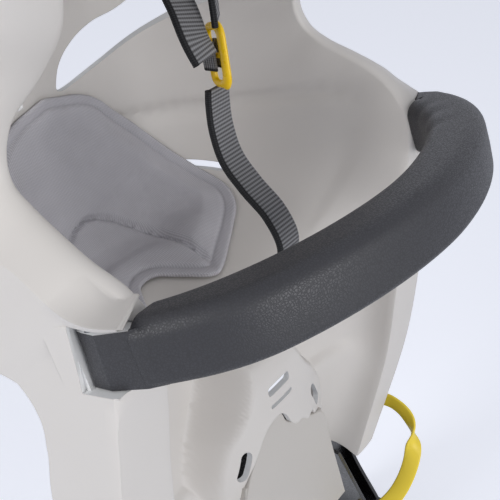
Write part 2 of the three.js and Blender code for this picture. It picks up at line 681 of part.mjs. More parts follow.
// Flat pads on the back of the shell under the guides: across and depth in shares of the guide's half width
const padShares = [[-1.15, -0.072], [-0.6, -0.128], [0.1, -0.264], [0.45, -0.368], [0.75, -0.496], [0.8, 0],
  [-1.15, 0]];
const guideSpan = guideRoom + guideLeg + guideEar;
const guidePadHalf = (3 * guideHalf) / 2;
const guidePad = prism(
  padShares.map(([x, y]) => [guidePlace[0] + x * guideSpan, standBack + y * guideSpan]),
  guideHeight - guidePadHalf, guideHeight + guidePadHalf, "z",
);
const screwBores = screwPlaces.map(([x, z]) => rod(x, z, screwRadius + fitGap, standFace - overrun,
  standBack + overrun, "y"));

shell = cutBy(joined([shell, guidePad, mirrored(guidePad)]), [
  vent, mirrored(vent), ...backSlots, ...backSlots.map(mirrored), ...frontCutters, oval, mirrored(oval),
  crotchSlot, beltSlot, mirrored(beltSlot), pommelWindow, ...screwBores,
  ...guideScrewDrops.flatMap((drop) => {
    const bore = onGuide(guideScrewBore(drop, guideFoot - guideScrewDepth - fitGap));
    return [bore, mirrored(bore)];
  }),
]);
add("seat_shell", shell, "shell");

const panelCore = slantedPlate(panelOutline(0), 0, panelWall);
const flangeInner = panelSide.map(([x, z]) => [x - footWall, z]);
const panelFlangeSolid = slantedPlate([...panelSide, ...[...flangeInner].reverse()], 0, panelFlange);
const flangeTrim = receiverTop - fitGap;
const flangeCut = box(0, rimHalfWidth, -seatDepth, seatDepth, flangeTrim, 0);
const sideFlange = panelFlangeSolid.subtract(flangeCut);
add("pommel_panel", joined([panelCore, sideFlange, mirrored(sideFlange)]), "shell");

add("mount_receiver", receiverSolid(), "black");
add("release_button", release, "bar");
screwPlaces.forEach(([x, z], i) => {
  const head = standBack + fitGap;
  add(`receiver_screw_${i + 1}`, joined([
    rod(x, z, screwRadius, standFace - screwDepth, head + overrun, "y"),
    rod(x, z, screwHeadRadius, head, head + screwHeadHeight, "y"),
  ]), "steel");
});

// Foot straps over the cups, with a stud at each end
const footStrapWidth = 14;
const footStrapThickness = 2.2;
const webSteps = 24;
const strapRoute = below(guardEnd, [[150, 3, 9.625], [151, -16, 3.625], [146, -35, 9.625], [132, -47, 31.625],
  [114, -45, 63.625], [102, -33, 82.625], [98, -17, 87.625]]);
const strapWidthAims = [[0, -0.1, 1], [0, 0.2, 1], [0.3, 0.4, 1], [0.5, 0.5, 1], [0.5, 0.4, 1], [0.3, 0.2, 1],
  [0.1, 0, 1]];
const footSlotRoom = 2 * fitGap;
for (const [name, side] of [["left", 1], ["right", -1]]) {
  const place = (solid) => (side > 0 ? solid : mirrored(solid));
  const strap = (grow) => ribbon(
    strapRoute.map((p) => vector(...p)),
    strapWidthAims.map((p) => vector(...p)),
    footStrapWidth + grow, footStrapThickness + grow, webSteps,
  );
  add(`footrest_${name}`, place(footrestSolid().subtract(strap(footSlotRoom))), "black");
  add(`foot_strap_${name}`, place(strap(0)), "yellow");
  add(`footrest_guide_${name}`, place(onGuide(guideSolid())), "black");
  add(`footrest_lock_${name}`, place(onGuide(rod(0, 0, lockRadius, lockInner, guideFace + lockStand, "y"))), "bar");
  guideScrewDrops.forEach((drop, i) => {
    const seat = guideFoot + footWall + fitGap;
    const shank = rod(guideScrewAcross, drop, guideScrewRadius, guideFoot - guideScrewDepth, seat + overrun / 2, "y");
    const head = rod(guideScrewAcross, drop, guideScrewHead, seat, seat + overrun, "y");
    add(`guide_screw_${name}_${i + 1}`, place(onGuide(joined([shank, head]))), "steel");
  });
}

// Seat pad: a crowned sheet laid on the shell, with a flat bound edge, a sewn crease and a notch for the crotch strap
const padOutlineShares = [[0.367, 0.12], [0.369, 0.2], [0.377, 0.33], [0.392, 0.475], [0.425, 0.64],
  [0.471, 0.77], [0.508, 0.81], [0.527, 0.757], [0.544, 0.575], [0.553, 0.38]];
const creaseShares = [[0.462, 0], [0.465, 0.157], [0.481, 0.306], [0.51, 0.424], [0.54, 0.455]];
const padGap = 2.2; // the pad bridges the shell's hollow corners
const padCrown = 11;
const padEdge = 3;
const padBinding = 7;
const padRampWidth = 17;
const padRowSteps = 26;
const padColumnShares = [-1, -0.95, -0.88, -0.79, -0.68, -0.55, -0.37, -0.19, 0, 0.19, 0.37, 0.55, 0.68, 0.79, 0.88,
  0.95, 1];
const creaseDepth = 3;
const creaseWidth = 4;
const patchShare = 0.004; // reach of the small patch that a direction is read from
const patchReach = 3;
function padReach(along) {
  const after = Math.max(1, padOutlineShares.findIndex(([place]) => place >= along - 1e-9));
  const [a0, s0] = padOutlineShares[after - 1];
  const [a1, s1] = padOutlineShares[after];
  return THREE.MathUtils.lerp(s0, s1, (along - a0) / (a1 - a0));
}
function padSolid() {
  const [first, last] = [padOutlineShares[0][0], padOutlineShares[padOutlineShares.length - 1][0]];
  const rows = Array.from({ length: padRowSteps + 1 }, (_, r) => {
    const along = THREE.MathUtils.lerp(first, last, r / padRowSteps);
    const reach = padReach(along) * rimCurve.getPoint(along).x;
    return padColumnShares.map((share) => shellPoint(along, share * reach));
  });
  const ways = backsOf(rows);
  const lift = (r, c) => {
    const place = rows[r][c];
    const side = rows[r][c < padColumnShares.length / 2 ? 0 : padColumnShares.length - 1];
    const inset = Math.min(...[side, rows[0][c], rows[padRowSteps][c]].map((edge) => place.distanceTo(edge)));
    return -(padGap + padEdge + (padCrown - padEdge) * smooth((inset - padBinding) / padRampWidth));
  };
  return wallBetween(shifted(rows, ways, lift), shifted(rows, ways, -padGap));
}
const halfCrease = creaseShares.map(([along, share]) => [along, share * rimCurve.getPoint(along).x]);
const creasePatches = [...halfCrease.slice(1).reverse().map(([along, x]) => [along, -x]), ...halfCrease]
  .map(([along, x]) => [-1, 0, 1].map((r) => [-1, 0, 1].map((c) => (
    shellPoint(along + r * patchShare, x + c * patchReach)))));
const creaseAims = creasePatches.map((patch) => backsOf(patch)[1][1]);
const creaseRoute = creasePatches.map((patch, i) => (
  patch[1][1].clone().addScaledVector(creaseAims[i], -padGap - padCrown)));
const crease = ribbon(creaseRoute, creaseAims, 2 * creaseDepth, creaseWidth, webSteps);
const notch = [[-34, 60], [-17, 112], [-8, 126], [8, 126], [17, 112], [34, 60]];
const notchCut = prism(notch, -2 * floorDrop, 0, "z");
add("seat_pad", cutBy(padSolid(), [notchCut, crease]), "knit");

// Harness: crotch strap from the floor to the slider, the loop from the slider to the buckle
const acrossSeat = [1, 0, 0];
const crotchRoute = [[0, 40, -113.9], [0, 39.5, -98], [0, 22, -72], [0, 3, -45], [0, -4, -20], [0, 6, -2], [0, 24, 12],
  [0, 38, 26], [0, 45, 44], [0, 47, 60], [0, 47, 69.6]];
add("crotch_strap", ribbon(
  crotchRoute.map((p) => vector(...p)),
  crotchRoute.map(() => vector(...acrossSeat)),
  webWidth, webThickness, webSteps,
), "webbing");
const anchorHalf = 17;
const anchorThickness = 3;
const anchorTop = crotchRoute[0][2] - fitGap;
add("crotch_anchor", box(-anchorHalf, anchorHalf, crotchSlotDepth - webWidth / 2, crotchSlotDepth + webWidth / 2,
  anchorTop - anchorThickness, anchorTop), "black");

// Slider: a flat frame with a bar along its middle, standing on edge where the webbing twists
const sliderPlace = [0, 47, 88];
const sliderHalfLong = 17;
const sliderHalfShort = 10;
const sliderThickness = 4;
const sliderRail = 3;
const sliderBar = 2.4;
const sliderCorner = 4;
const sliderUp = vector(0.1, 0.25, 0.96).normalize();
const sliderFacing = vector(-0.85, 0.46, 0.28).projectOnPlane(sliderUp).normalize();
const sliderAcross = sliderUp.clone().cross(sliderFacing);
const sliderFrame = prism(
  roundedOutline(sliderHalfShort, -sliderHalfLong, sliderHalfLong, sliderCorner),
  -sliderThickness / 2, sliderThickness / 2, "y",
);
const sliderWindows = [-1, 1].map((side) => box(
  side > 0 ? sliderBar / 2 : -sliderHalfShort + sliderRail,
  side > 0 ? sliderHalfShort - sliderRail : -sliderBar / 2,
  -sliderThickness, sliderThickness,
  -sliderHalfLong + sliderRail, sliderHalfLong - sliderRail,
));
const sliderTurn = new THREE.Matrix4().makeBasis(sliderAcross, sliderFacing, sliderUp).setPosition(...sliderPlace);
add("strap_slider", cutBy(sliderFrame, sliderWindows).transform(sliderTurn.elements), "yellow");

// Buckle on the end of the crotch strap's loop, leaning back like the straps
const buckleLean = 20; // degrees back from upright
const bucklePlace = [0, 66, 150];
const buckleHalfWidth = 22;
const buckleHeight = 54;
const buckleHalfThickness = 8;
const buckleCorner = 8;
const loopSlotHeight = 8; // bottom of the buckle up to the middle of the slot
const loopSlotHalf = 3;
const mouthDepth = 14;
const mouthHalf = 9;
const tonguePlace = 11; // middle of the buckle out to the middle of a tongue
const tongueThickness = 3;
const pressRadius = 9;
const pressHeight = 26;
const pressDepth = 5;
const pressTravel = 2.5;
const inBuckle = (solid) => solid.rotate([-buckleLean, 0, 0]).translate(bucklePlace);
const mouths = [-1, 1].map((side) => box(
  side * tonguePlace - mouthHalf - fitGap, side * tonguePlace + mouthHalf + fitGap,
  -tongueThickness / 2 - fitGap, tongueThickness / 2 + fitGap,
  buckleHeight - mouthDepth - fitGap, buckleHeight + overrun,
));
const buckleBody = cutBy(
  prism(roundedOutline(buckleHalfWidth, 0, buckleHeight, buckleCorner), -buckleHalfThickness,
    buckleHalfThickness, "y"),
  [
    ...mouths,
    box(-slotReach, slotReach, -buckleHalfThickness * 2, buckleHalfThickness * 2,
      loopSlotHeight - loopSlotHalf, loopSlotHeight + loopSlotHalf),
    rod(0, pressHeight, pressRadius + runGap, -buckleHalfThickness - overrun,
      -buckleHalfThickness + pressDepth + pressTravel, "y"),
  ],
);
add("buckle_body", inBuckle(buckleBody), "black");
add("buckle_button", inBuckle(rod(0, pressHeight, pressRadius, -buckleHalfThickness - overrun,
  -buckleHalfThickness + pressDepth, "y")), "yellow");

// Loop of webbing from the slider through the buckle's slot and back
const loopRoute = [[3, 49, 106.6], [2, 50, 120], [1, 52, 136], [0, 54, 150], [0, 56, 157.2], [0, 60.6, 158.8],
  [0, 68.1, 156.1], [0, 75.6, 153.4], [0, 80, 148], [-3, 78, 140], [-8, 70, 126], [-13, 58, 114], [-17, 48, 102],
  [-16, 42, 92]];
const loopTurned = [0.8, 0.5, 0.1];
const loopAims = loopRoute.map(([, , z]) => (z < bucklePlace[2] - 2 * loopSlotHeight ? loopTurned : acrossSeat));
add("strap_loop", ribbon(
  loopRoute.map((p) => vector(...p)),
  loopAims.map((p) => vector(...p)),
  webWidth, webThickness, webSteps,
), "webbing");

// Shoulder straps from the tongues to the slots in the back, each with its pad and its anchor behind the shell
const shoulderPadWidth = 44;
const shoulderPadThickness = 11;
const tongueHeadInner = 1.2;
const tongueHeadOuter = 25.2;
const tongueHeadHeight = 20;
const tongueSlot = [6, 12]; // from the top of the buckle
const tongueRail = 2;
const shoulderPadSpan = [0.54, 0.76];
const shoulderPadBore = [0.4, 0.84];
const strapMiddle = (tongueHeadInner + tongueHeadOuter) / 2;
const shoulderRoute = [[strapMiddle, 80, 215], [strapMiddle, 82.5, 212], [strapMiddle, 87, 210.3],
  [strapMiddle, 92, 208.6], [strapMiddle, 100, 211]];
const shoulderShares = [[0.66, 0.6, 1.069], [0.82, 0.84, 1.096], [0.95, 1.02, 1.041], [1, 1.12, 1.0056],
  [1, 1.152, 1.0015], [1, 1.1805, 0.9988]];
for (const [name, side] of [["left", 1], ["right", -1]]) {
  const place = (solid) => (side > 0 ? solid : mirrored(solid));
  const tongue = cutBy(
    joined([
      box(tonguePlace - mouthHalf, tonguePlace + mouthHalf, -tongueThickness / 2, tongueThickness / 2,
        buckleHeight - mouthDepth, buckleHeight + overrun),
      box(tongueHeadInner, tongueHeadOuter, -tongueThickness / 2, tongueThickness / 2,
        buckleHeight + fitGap, buckleHeight + tongueHeadHeight),
    ]),
    [box(tongueHeadInner + tongueRail, tongueHeadOuter - tongueRail, -tongueThickness, tongueThickness,
      buckleHeight + tongueSlot[0], buckleHeight + tongueSlot[1])],
  );
  add(`buckle_tongue_${name}`, place(inBuckle(tongue)), "black");
  const route = [
    ...shoulderRoute.map((p) => vector(...p)),
    ...shoulderShares.map(([x, y, z]) => vector(x * shoulderSpread, y * seatDepth, z * shoulderHeight)),
  ];
  const aims = route.map(() => vector(...acrossSeat));
  const webbing = (width, thickness, span) => ribbon(route, aims, width, thickness, webSteps, ...span);
  const width = webWidth - 2 * runGap;
  add(`shoulder_strap_${name}`, place(webbing(width, webThickness, [0, 1])), "webbing");
  add(`shoulder_pad_${name}`, place(
    webbing(shoulderPadWidth, shoulderPadThickness, shoulderPadSpan)
      .subtract(webbing(width + 4 * runGap, webThickness + 4 * runGap, shoulderPadBore)),
  ), "knit");
  const end = route[route.length - 1];
  add(`shoulder_anchor_${name}`, place(box(
    end.x - anchorHalf, end.x + anchorHalf, end.y + fitGap, end.y + fitGap + anchorThickness,
    end.z - webWidth / 2, end.z + webWidth / 2,
  )), "black");
}
part.position.set(0, -receiverMiddle, -receiverBottom);
export default part;
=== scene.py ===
# A child seat for a bicycle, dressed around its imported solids.
# Pieces are drawn in millimetres from the middle of the bar's ends: x to the child's left, y to the back, z up.
import json
import math

import bpy
import numpy as np
from mathutils import Matrix, Vector
from mathutils.geometry import delaunay_2d_cdt


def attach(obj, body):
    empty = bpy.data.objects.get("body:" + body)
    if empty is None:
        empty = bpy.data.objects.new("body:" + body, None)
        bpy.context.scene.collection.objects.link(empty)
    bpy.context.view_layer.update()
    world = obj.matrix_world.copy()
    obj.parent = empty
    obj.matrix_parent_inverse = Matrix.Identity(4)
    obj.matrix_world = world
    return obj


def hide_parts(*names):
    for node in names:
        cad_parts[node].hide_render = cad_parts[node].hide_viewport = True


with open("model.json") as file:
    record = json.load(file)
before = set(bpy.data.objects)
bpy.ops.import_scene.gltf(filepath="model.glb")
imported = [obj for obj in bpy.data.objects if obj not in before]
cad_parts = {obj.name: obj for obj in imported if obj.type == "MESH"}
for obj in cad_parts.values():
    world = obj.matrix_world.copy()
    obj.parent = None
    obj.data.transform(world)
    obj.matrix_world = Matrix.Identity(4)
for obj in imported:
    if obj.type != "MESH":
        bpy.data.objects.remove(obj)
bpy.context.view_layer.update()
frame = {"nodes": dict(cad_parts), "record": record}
scene = bpy.context.scene
originShift = np.array([0.0, -19.31775, 299.3])  # from the bar's ends to the receiver's face


def smoothStep(value):
    # 0 below 0, 1 above 1, and 3v^2 - 2v^3 between
    v = np.clip(value, 0, 1)
    return v * v * (3 - 2 * v)


def bump(distance, halfWidth):
    # 1 at distance 0, falling smoothly to 0 at the half width
    return 1 - smoothStep(np.abs(distance) / halfWidth)


def unit(vectors):
    return vectors / np.maximum(np.linalg.norm(vectors, axis=-1, keepdims=True), 1e-9)


def throughPoints(points, along):
    # Centripetal Catmull-Rom curve: cubic spans whose end slopes weigh each neighbour by the root of its distance
    p = np.asarray(points, float)
    padded = np.vstack([2 * p[0] - p[1], p, 2 * p[-1] - p[-2]])
    place = np.asarray(along, float) * (len(p) - 1)
    i = np.clip(np.floor(place).astype(int), 0, len(p) - 2)
    w = (place - i)[:, None]
    p0, p1, p2, p3 = (padded[i + k] for k in range(4))
    d0, d1, d2 = (np.maximum(np.linalg.norm(b - a, axis=1, keepdims=True) ** 0.5, 1e-4)
                  for a, b in ((p0, p1), (p1, p2), (p2, p3)))
    m1 = ((p1 - p0) / d0 - (p2 - p0) / (d0 + d1) + (p2 - p1) / d1) * d1
    m2 = ((p2 - p1) / d1 - (p3 - p1) / (d1 + d2) + (p3 - p2) / d2) * d1
    return p1 + m1 * w + (3 * (p2 - p1) - 2 * m1 - m2) * w**2 + (2 * (p1 - p2) + m1 + m2) * w**3


def reachAlong(line):
    # A polyline's length up to each of its points
    return np.concatenate([[0], np.cumsum(np.linalg.norm(np.diff(line, axis=0), axis=1))])


def atReach(line, steps):
    reach = reachAlong(line)
    return np.stack([np.interp(steps, reach, column) for column in line.T], 1)


def evenPoints(points, count):
    # The smooth curve through the points, at even steps of its length
    fine = throughPoints(points, np.linspace(0, 1, 600))
    return atReach(fine, np.linspace(0, reachAlong(fine)[-1], count))


def closedCurve(points, count):
    # The same round a closed ring of points
    ring = np.vstack([points[-2:], points, points[:2]])
    last = len(ring) - 1
    fine = throughPoints(ring, np.linspace(2 / last, (last - 1) / last, 800))
    return atReach(fine, np.linspace(0, reachAlong(fine)[-1], count, endpoint=False))


def toLine(points, line):
    # Shortest distance from each point to a polyline
    a, b = line[:-1], line[1:]
    run = b - a
    share = ((points[:, None] - a) * run).sum(-1) / np.maximum((run * run).sum(-1), 1e-9)
    near = a + np.clip(share, 0, 1)[..., None] * run
    return np.linalg.norm(points[:, None] - near, axis=-1).min(1)


def inwards(outline):
    # Unit directions into a closed outline, whichever way round it runs
    after = np.roll(outline, -1, 0)
    run = unit(after - np.roll(outline, 1, 0))
    way = np.sign((outline[:, 0] * after[:, 1] - after[:, 0] * outline[:, 1]).sum())
    return np.stack([-run[:, 1], run[:, 0]], 1) * way


def faceOut(piece):
    # A closed mesh whose faces point inwards has a negative signed volume, and is turned round
    mesh = piece.data
    mesh.calc_loop_triangles()
    corners = np.empty(len(mesh.loop_triangles) * 3, int)
    mesh.loop_triangles.foreach_get("vertices", corners)
    co = np.empty(len(mesh.vertices) * 3)
    mesh.vertices.foreach_get("co", co)
    a, b, c = co.reshape(-1, 3)[corners.reshape(-1, 3)].transpose(1, 0, 2)
    if (a * np.cross(b, c)).sum() < 0:
        mesh.flip_normals()
    return piece


def makeMesh(name, points, faces, material, body="seat", uv=None):
    # Points in millimetres; faces as an array of quads or triangles; uv one pair for each point
    points = points.reshape(-1, 3)
    mesh = bpy.data.meshes.new(name)
    mesh.vertices.add(len(points))
    mesh.vertices.foreach_set("co", ((points + originShift) / 1000).ravel())
    mesh.loops.add(faces.size)
    mesh.loops.foreach_set("vertex_index", faces.ravel())
    mesh.polygons.add(len(faces))
    mesh.polygons.foreach_set("loop_start", np.arange(len(faces)) * faces.shape[1])
    mesh.polygons.foreach_set("use_smooth", np.ones(len(faces), bool))
    if uv is not None:
        mesh.uv_layers.new(name="UVMap").data.foreach_set("uv", uv.reshape(-1, 2)[faces.ravel()].ravel())
    mesh.update(calc_edges=True)
    mesh.validate()
    piece = bpy.data.objects.new(name, mesh)
    scene.collection.objects.link(piece)
    mesh.materials.append(material)
    if body:
        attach(piece, body)
    return faceOut(piece)


def gridFaces(rows, columns, closedAcross=False, closedDown=False, start=0):
    r = np.arange(rows if closedDown else rows - 1)[:, None]
    c = np.arange(columns if closedAcross else columns - 1)[None, :]
    over, down = (c + 1) % columns, (r + 1) % rows
    quads = np.stack([r * columns + c, r * columns + over, down * columns + over, down * columns + c], -1)
    return quads.reshape(-1, 4) + start


def loftRings(name, rings, material, body="seat", uv=None):
    # Closed rings joined one to the next, each end closed by a fan about its middle
    count, width = rings.shape[:2]
    quads = gridFaces(count, width, closedAcross=True)
    i = np.arange(width)
    j = (i + 1) % width
    middle, last = np.full(width, count * width), (count - 1) * width
    faces = [quads[:, [0, 1, 2]], quads[:, [0, 2, 3]], np.stack([middle, j, i], 1),
             np.stack([middle + 1, last + i, last + j], 1)]
    full = lambda grid: np.concatenate([grid.reshape(-1, grid.shape[-1]), [grid[0].mean(0), grid[-1].mean(0)]])
    return makeMesh(name, full(rings), np.concatenate(faces), material, body, None if uv is None else full(uv))


def thickSheet(name, front, back, material, body="seat", uv=None):
    # Two grids of points joined round their edges into one closed wall
    rows, columns = front.shape[:2]
    n = rows * columns
    faces = [gridFaces(rows, columns), gridFaces(rows, columns, start=n)[:, ::-1]]
    r, c = np.arange(rows - 1), np.arange(columns - 1)
    index = lambda row, column: row * columns + column
    for a, b in ((index(r + 1, 0), index(r, 0)), (index(r, columns - 1), index(r + 1, columns - 1)),
                 (index(0, c), index(0, c + 1)), (index(rows - 1, c + 1), index(rows - 1, c))):
        faces.append(np.stack([b, a, a + n, b + n], 1))
    both = None if uv is None else np.stack([uv, uv])
    return makeMesh(name, np.stack([front, back]), np.concatenate(faces), material, body, both)


def applyModifiers(piece):
    # The evaluated mesh takes the place of the piece's own
    graph = bpy.context.evaluated_depsgraph_get()
    made = bpy.data.meshes.new_from_object(piece.evaluated_get(graph))
    piece.modifiers.clear()
    old = piece.data
    piece.data = made
    bpy.data.meshes.remove(old)


def boolean(piece, others, operation):
    for other in others:
        tool = piece.modifiers.new("boolean", "BOOLEAN")
        tool.operation = operation
        tool.solver = "MANIFOLD"
        tool.object = other
    applyModifiers(piece)
    for other in others:
        bpy.data.objects.remove(other)
    return piece


def sharpen(piece, degrees):
    # Edges that turn by more than this stay crisp under smooth shading
    mesh = piece.data
    mesh.polygons.foreach_set("use_smooth", np.ones(len(mesh.polygons), bool))
    mesh.set_sharp_from_angle(angle=math.radians(degrees))
    return piece


def standFor(piece, node):
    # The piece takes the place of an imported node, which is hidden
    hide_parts(node)


def outlineSolid(outline, low, high, place, rounding=0.0, name="cutter", material=None, body=None):
    # An outline run from low to high; place(a, b, level) puts a point, and rounding insets both end rings
    outline = np.asarray(outline, float)
    inward = inwards(outline)
    turns = np.linspace(math.pi / 2, 0, 5 if rounding else 1)
    start = [(rounding * (1 - math.sin(t)), rounding * (1 - math.cos(t))) for t in turns]
    levels = [(low + rise, inset) for rise, inset in start] + [(high - rise, inset) for rise, inset in start[::-1]]
    rings = []
    for level, inset in levels:
        flat = outline + inward * inset
        rings.append(place(flat[:, 0], flat[:, 1], np.full(len(flat), float(level))))
    return loftRings(name, np.array(rings), material or blankMaterial, body)


places = {
    "x": lambda a, b, level: np.stack([level, a, b], -1),
    "y": lambda a, b, level: np.stack([a, level, b], -1),
    "z": lambda a, b, level: np.stack([a, b, level], -1),
    "bar": lambda a, b, level: inBarPlane(np.stack([a, b, level], -1)),
    "barX": lambda a, b, level: inBarPlane(np.stack([level, a, b], -1)),
}


def rectangle(a0, a1, b0, b1):
    return np.array([[a0, b0], [a1, b0], [a1, b1], [a0, b1]], float)


def roundedRect(halfA, halfB, radii, steps=6):
    # One radius, or four of them round from the corner at plus a and plus b
    turns = np.linspace(0, math.pi / 2, steps)
    corners = zip([(1, 1), (-1, 1), (-1, -1), (1, -1)], np.broadcast_to(radii, 4))
    return np.concatenate([np.stack([a * (halfA - r) + r * np.cos(turns + q * math.pi / 2),
                                     b * (halfB - r) + r * np.sin(turns + q * math.pi / 2)], 1)
                           for q, ((a, b), r) in enumerate(corners)])


def circleOutline(a, b, radius, count=40):
    turns = np.linspace(0, 2 * math.pi, count, endpoint=False)
    return np.stack([a + radius * np.cos(turns), b + radius * np.sin(turns)], 1)


def slotOutline(start, end, radius, steps=10):
    start, end = np.array(start, float), np.array(end, float)
    heading = math.atan2(*(end - start)[::-1])
    turns = np.linspace(-math.pi / 2, math.pi / 2, steps)
    arc = lambda middle, turn: middle + radius * np.stack([np.cos(turns + turn), np.sin(turns + turn)], 1)
    return np.concatenate([arc(end, heading), arc(start, heading + math.pi)])


def mirrorOutline(outline):
    return np.asarray(outline, float)[::-1] * [-1, 1]


def bothSides(outline):
    return [np.asarray(outline, float), mirrorOutline(outline)]


def linearColour(hexText):
    # sRGB hex to linear light
    values = np.array([int(hexText[i:i + 2], 16) / 255 for i in (1, 3, 5)])
    linear = np.where(values <= 0.04045, values / 12.92, ((values + 0.055) / 1.055) ** 2.4)
    return (*[float(v) for v in linear], 1.0)


def connect(tree, node, inputs):
    # Each input takes a value or another node's output
    for key, value in inputs.items():
        if isinstance(value, bpy.types.NodeSocket):
            tree.links.new(value, node.inputs[key])
        else:
            node.inputs[key].default_value = value
    return node


def addNode(tree, kind, inputs={}, **settings):
    node = tree.nodes.new(kind)
    for name, value in settings.items():
        setattr(node, name, value)
    return connect(tree, node, inputs)


def newMaterial(name):
    material = bpy.data.materials.new(name)
    material.use_nodes = True
    tree = material.node_tree
    tree.nodes.clear()
    shader = addNode(tree, "ShaderNodeBsdfPrincipled")
    addNode(tree, "ShaderNodeOutputMaterial", {"Surface": shader.outputs[0]})
    return material, tree, shader


def finished(made, tones, inputs, relief=None, edge=None, over=None):
    # tones: two colours and what runs between them; relief: a bump's strength, depth in millimetres and height;
    # edge: the radius in millimetres that softens edges; over: a colour laid on top, and where; inputs: the
    # shader's other sockets
    material, tree, shader = made
    normal = {}
    if edge:
        normal = {"Normal": addNode(tree, "ShaderNodeBevel", {"Radius": edge / 1000}, samples=6).outputs[0]}
    if relief:
        strength, depth, height = relief
        bumped = addNode(tree, "ShaderNodeBump", {"Strength": strength, "Distance": depth / 1000, "Height": height,
                                                  **normal})
        normal = {"Normal": bumped.outputs[0]}
    colour = linearColour(tones[0])
    for hexText, share in [tones[1:]] + ([over] if over else []):
        colour = addNode(tree, "ShaderNodeMix", {"Factor": share, 6: colour, 7: linearColour(hexText)},
                         data_type="RGBA").outputs[2]
    connect(tree, shader, {"Base Color": colour, **normal, **inputs})
    return material


def mouldedPlastic(name, dark, light, roughness, grain, grainDepth, edge, specular=0.5):
    # Injection-moulded plastic: a faint cloud of colour, a spark-eroded grain and softened edges.
    # grain is the grain's size, in millimetres as grainDepth and edge are.
    made = newMaterial(name)
    tree = made[1]
    at = addNode(tree, "ShaderNodeTexCoord").outputs["Object"]
    cloud = addNode(tree, "ShaderNodeTexNoise", {"Vector": at, "Scale": 9.0, "Detail": 3.0, "Roughness": 0.5})
    cells = addNode(tree, "ShaderNodeTexNoise", {"Vector": at, "Scale": 500 / grain, "Detail": 2.0,
                                                 "Roughness": 0.6}).outputs["Fac"]
    rough = addNode(tree, "ShaderNodeMapRange", {"Value": cells, "From Min": 0.3, "From Max": 0.7,
                                                 "To Min": roughness - 0.05, "To Max": roughness + 0.05})
    return finished(made, (dark, light, cloud.outputs["Fac"]),
                    {"Roughness": rough.outputs[0], "Specular IOR Level": specular}, (0.5, grainDepth, cells), edge)


def grainedNylon(name, dark, light, pebble, depth):
    # Nylon from a mould etched with a leather grain: small rounded pebbles with fine creases between, which break up
    # a dull gloss. pebble is their size and depth the creases' depth, in millimetres; drawn coarser than life to show.
    made = newMaterial(name)
    tree = made[1]
    at = addNode(tree, "ShaderNodeTexCoord").outputs["Object"]
    wander = addNode(tree, "ShaderNodeTexNoise", {"Vector": at, "Scale": 500 / pebble, "Detail": 2.0})
    shifted = addNode(tree, "ShaderNodeMix", {"Factor": 0.0015, 4: at, 5: wander.outputs["Color"]}, data_type="VECTOR")
    cells = addNode(tree, "ShaderNodeTexVoronoi", {"Vector": shifted.outputs[1], "Scale": 1000 / pebble},
                    feature="DISTANCE_TO_EDGE")
    pebbles = addNode(tree, "ShaderNodeMapRange", {"Value": cells.outputs["Distance"], "From Min": 0.0,
                                                   "From Max": 0.28}, interpolation_type="SMOOTHSTEP").outputs[0]
    cloud = addNode(tree, "ShaderNodeTexNoise", {"Vector": at, "Scale": 14.0, "Detail": 3.0})
    # the creases are painted darker than the pebbles, as painted shade, over a cloud of real tone
    tone = addNode(tree, "ShaderNodeMath", {0: pebbles, 1: 0.6, 2: cloud.outputs["Fac"]}, operation="MULTIPLY_ADD")
    rough = addNode(tree, "ShaderNodeMapRange", {"Value": pebbles, "To Min": 0.62, "To Max": 0.42})
    return finished(made, (dark, light, tone.outputs[0]), {"Roughness": rough.outputs[0], "Specular IOR Level": 0.6},
                    (0.5, depth, pebbles), 0.9)


def zincSteel():
    # Zinc-plated steel: a bright metal with small grey clouds
    made = newMaterial("zinc-plated steel")
    at = addNode(made[1], "ShaderNodeTexCoord").outputs["Object"]
    cloud = addNode(made[1], "ShaderNodeTexNoise", {"Vector": at, "Scale": 400.0, "Detail": 2.0})
    return finished(made, ("#9a9ca0", "#b9bbbf", cloud.outputs["Fac"]), {"Metallic": 1.0, "Roughness": 0.32}, edge=0.3)


def threadWave(tree, uTurns, vTurns):
    # sin 2 pi (u uTurns + v vTurns), from the piece's UV map
    uv = addNode(tree, "ShaderNodeUVMap", uv_map="UVMap").outputs[0]
    turns = addNode(tree, "ShaderNodeVectorMath", {0: uv, 1: (2 * math.pi * uTurns, 2 * math.pi * vTurns, 0)},
                    operation="DOT_PRODUCT").outputs["Value"]
    return addNode(tree, "ShaderNodeMath", {0: turns}, operation="SINE").outputs[0]


def knitFabric(name, dark, light, rib, dash):
    # Ribbed knit over foam: rows of short raised dashes along v, one row a rib apart across u, both in millimetres.
    # The real rib is finer; it is drawn as coarse as it needs to show.
    made = newMaterial(name)
    tree = made[1]
    wave, knots = threadWave(tree, 1000 / rib, 0), threadWave(tree, 1000 / rib, 1000 / dash)
    weave = addNode(tree, "ShaderNodeMath", {0: wave, 1: knots}, operation="MULTIPLY").outputs[0]
    both = addNode(tree, "ShaderNodeMath", {0: weave, 1: 0.5, 2: wave}, operation="MULTIPLY_ADD").outputs[0]
    height = addNode(tree, "ShaderNodeMapRange", {"Value": both, "From Min": -1.5, "From Max": 1.5}).outputs[0]
    at = addNode(tree, "ShaderNodeTexCoord").outputs["Object"]
    cloud = addNode(tree, "ShaderNodeTexNoise", {"Vector": at, "Scale": 60.0, "Detail": 4.0}).outputs["Fac"]
    # painted light on the raised ribs and painted shade in the grooves, over a cloud of real tone
    shade = addNode(tree, "ShaderNodeMath", {0: height, 1: 0.7}, operation="MULTIPLY").outputs[0]
    tone = addNode(tree, "ShaderNodeMath", {0: cloud, 1: 0.3, 2: shade}, operation="MULTIPLY_ADD").outputs[0]
    return finished(made, (dark, light, tone), {"Roughness": 0.9, "Specular IOR Level": 0.2, "Sheen Weight": 0.15},
                    (0.6, 0.3, height))


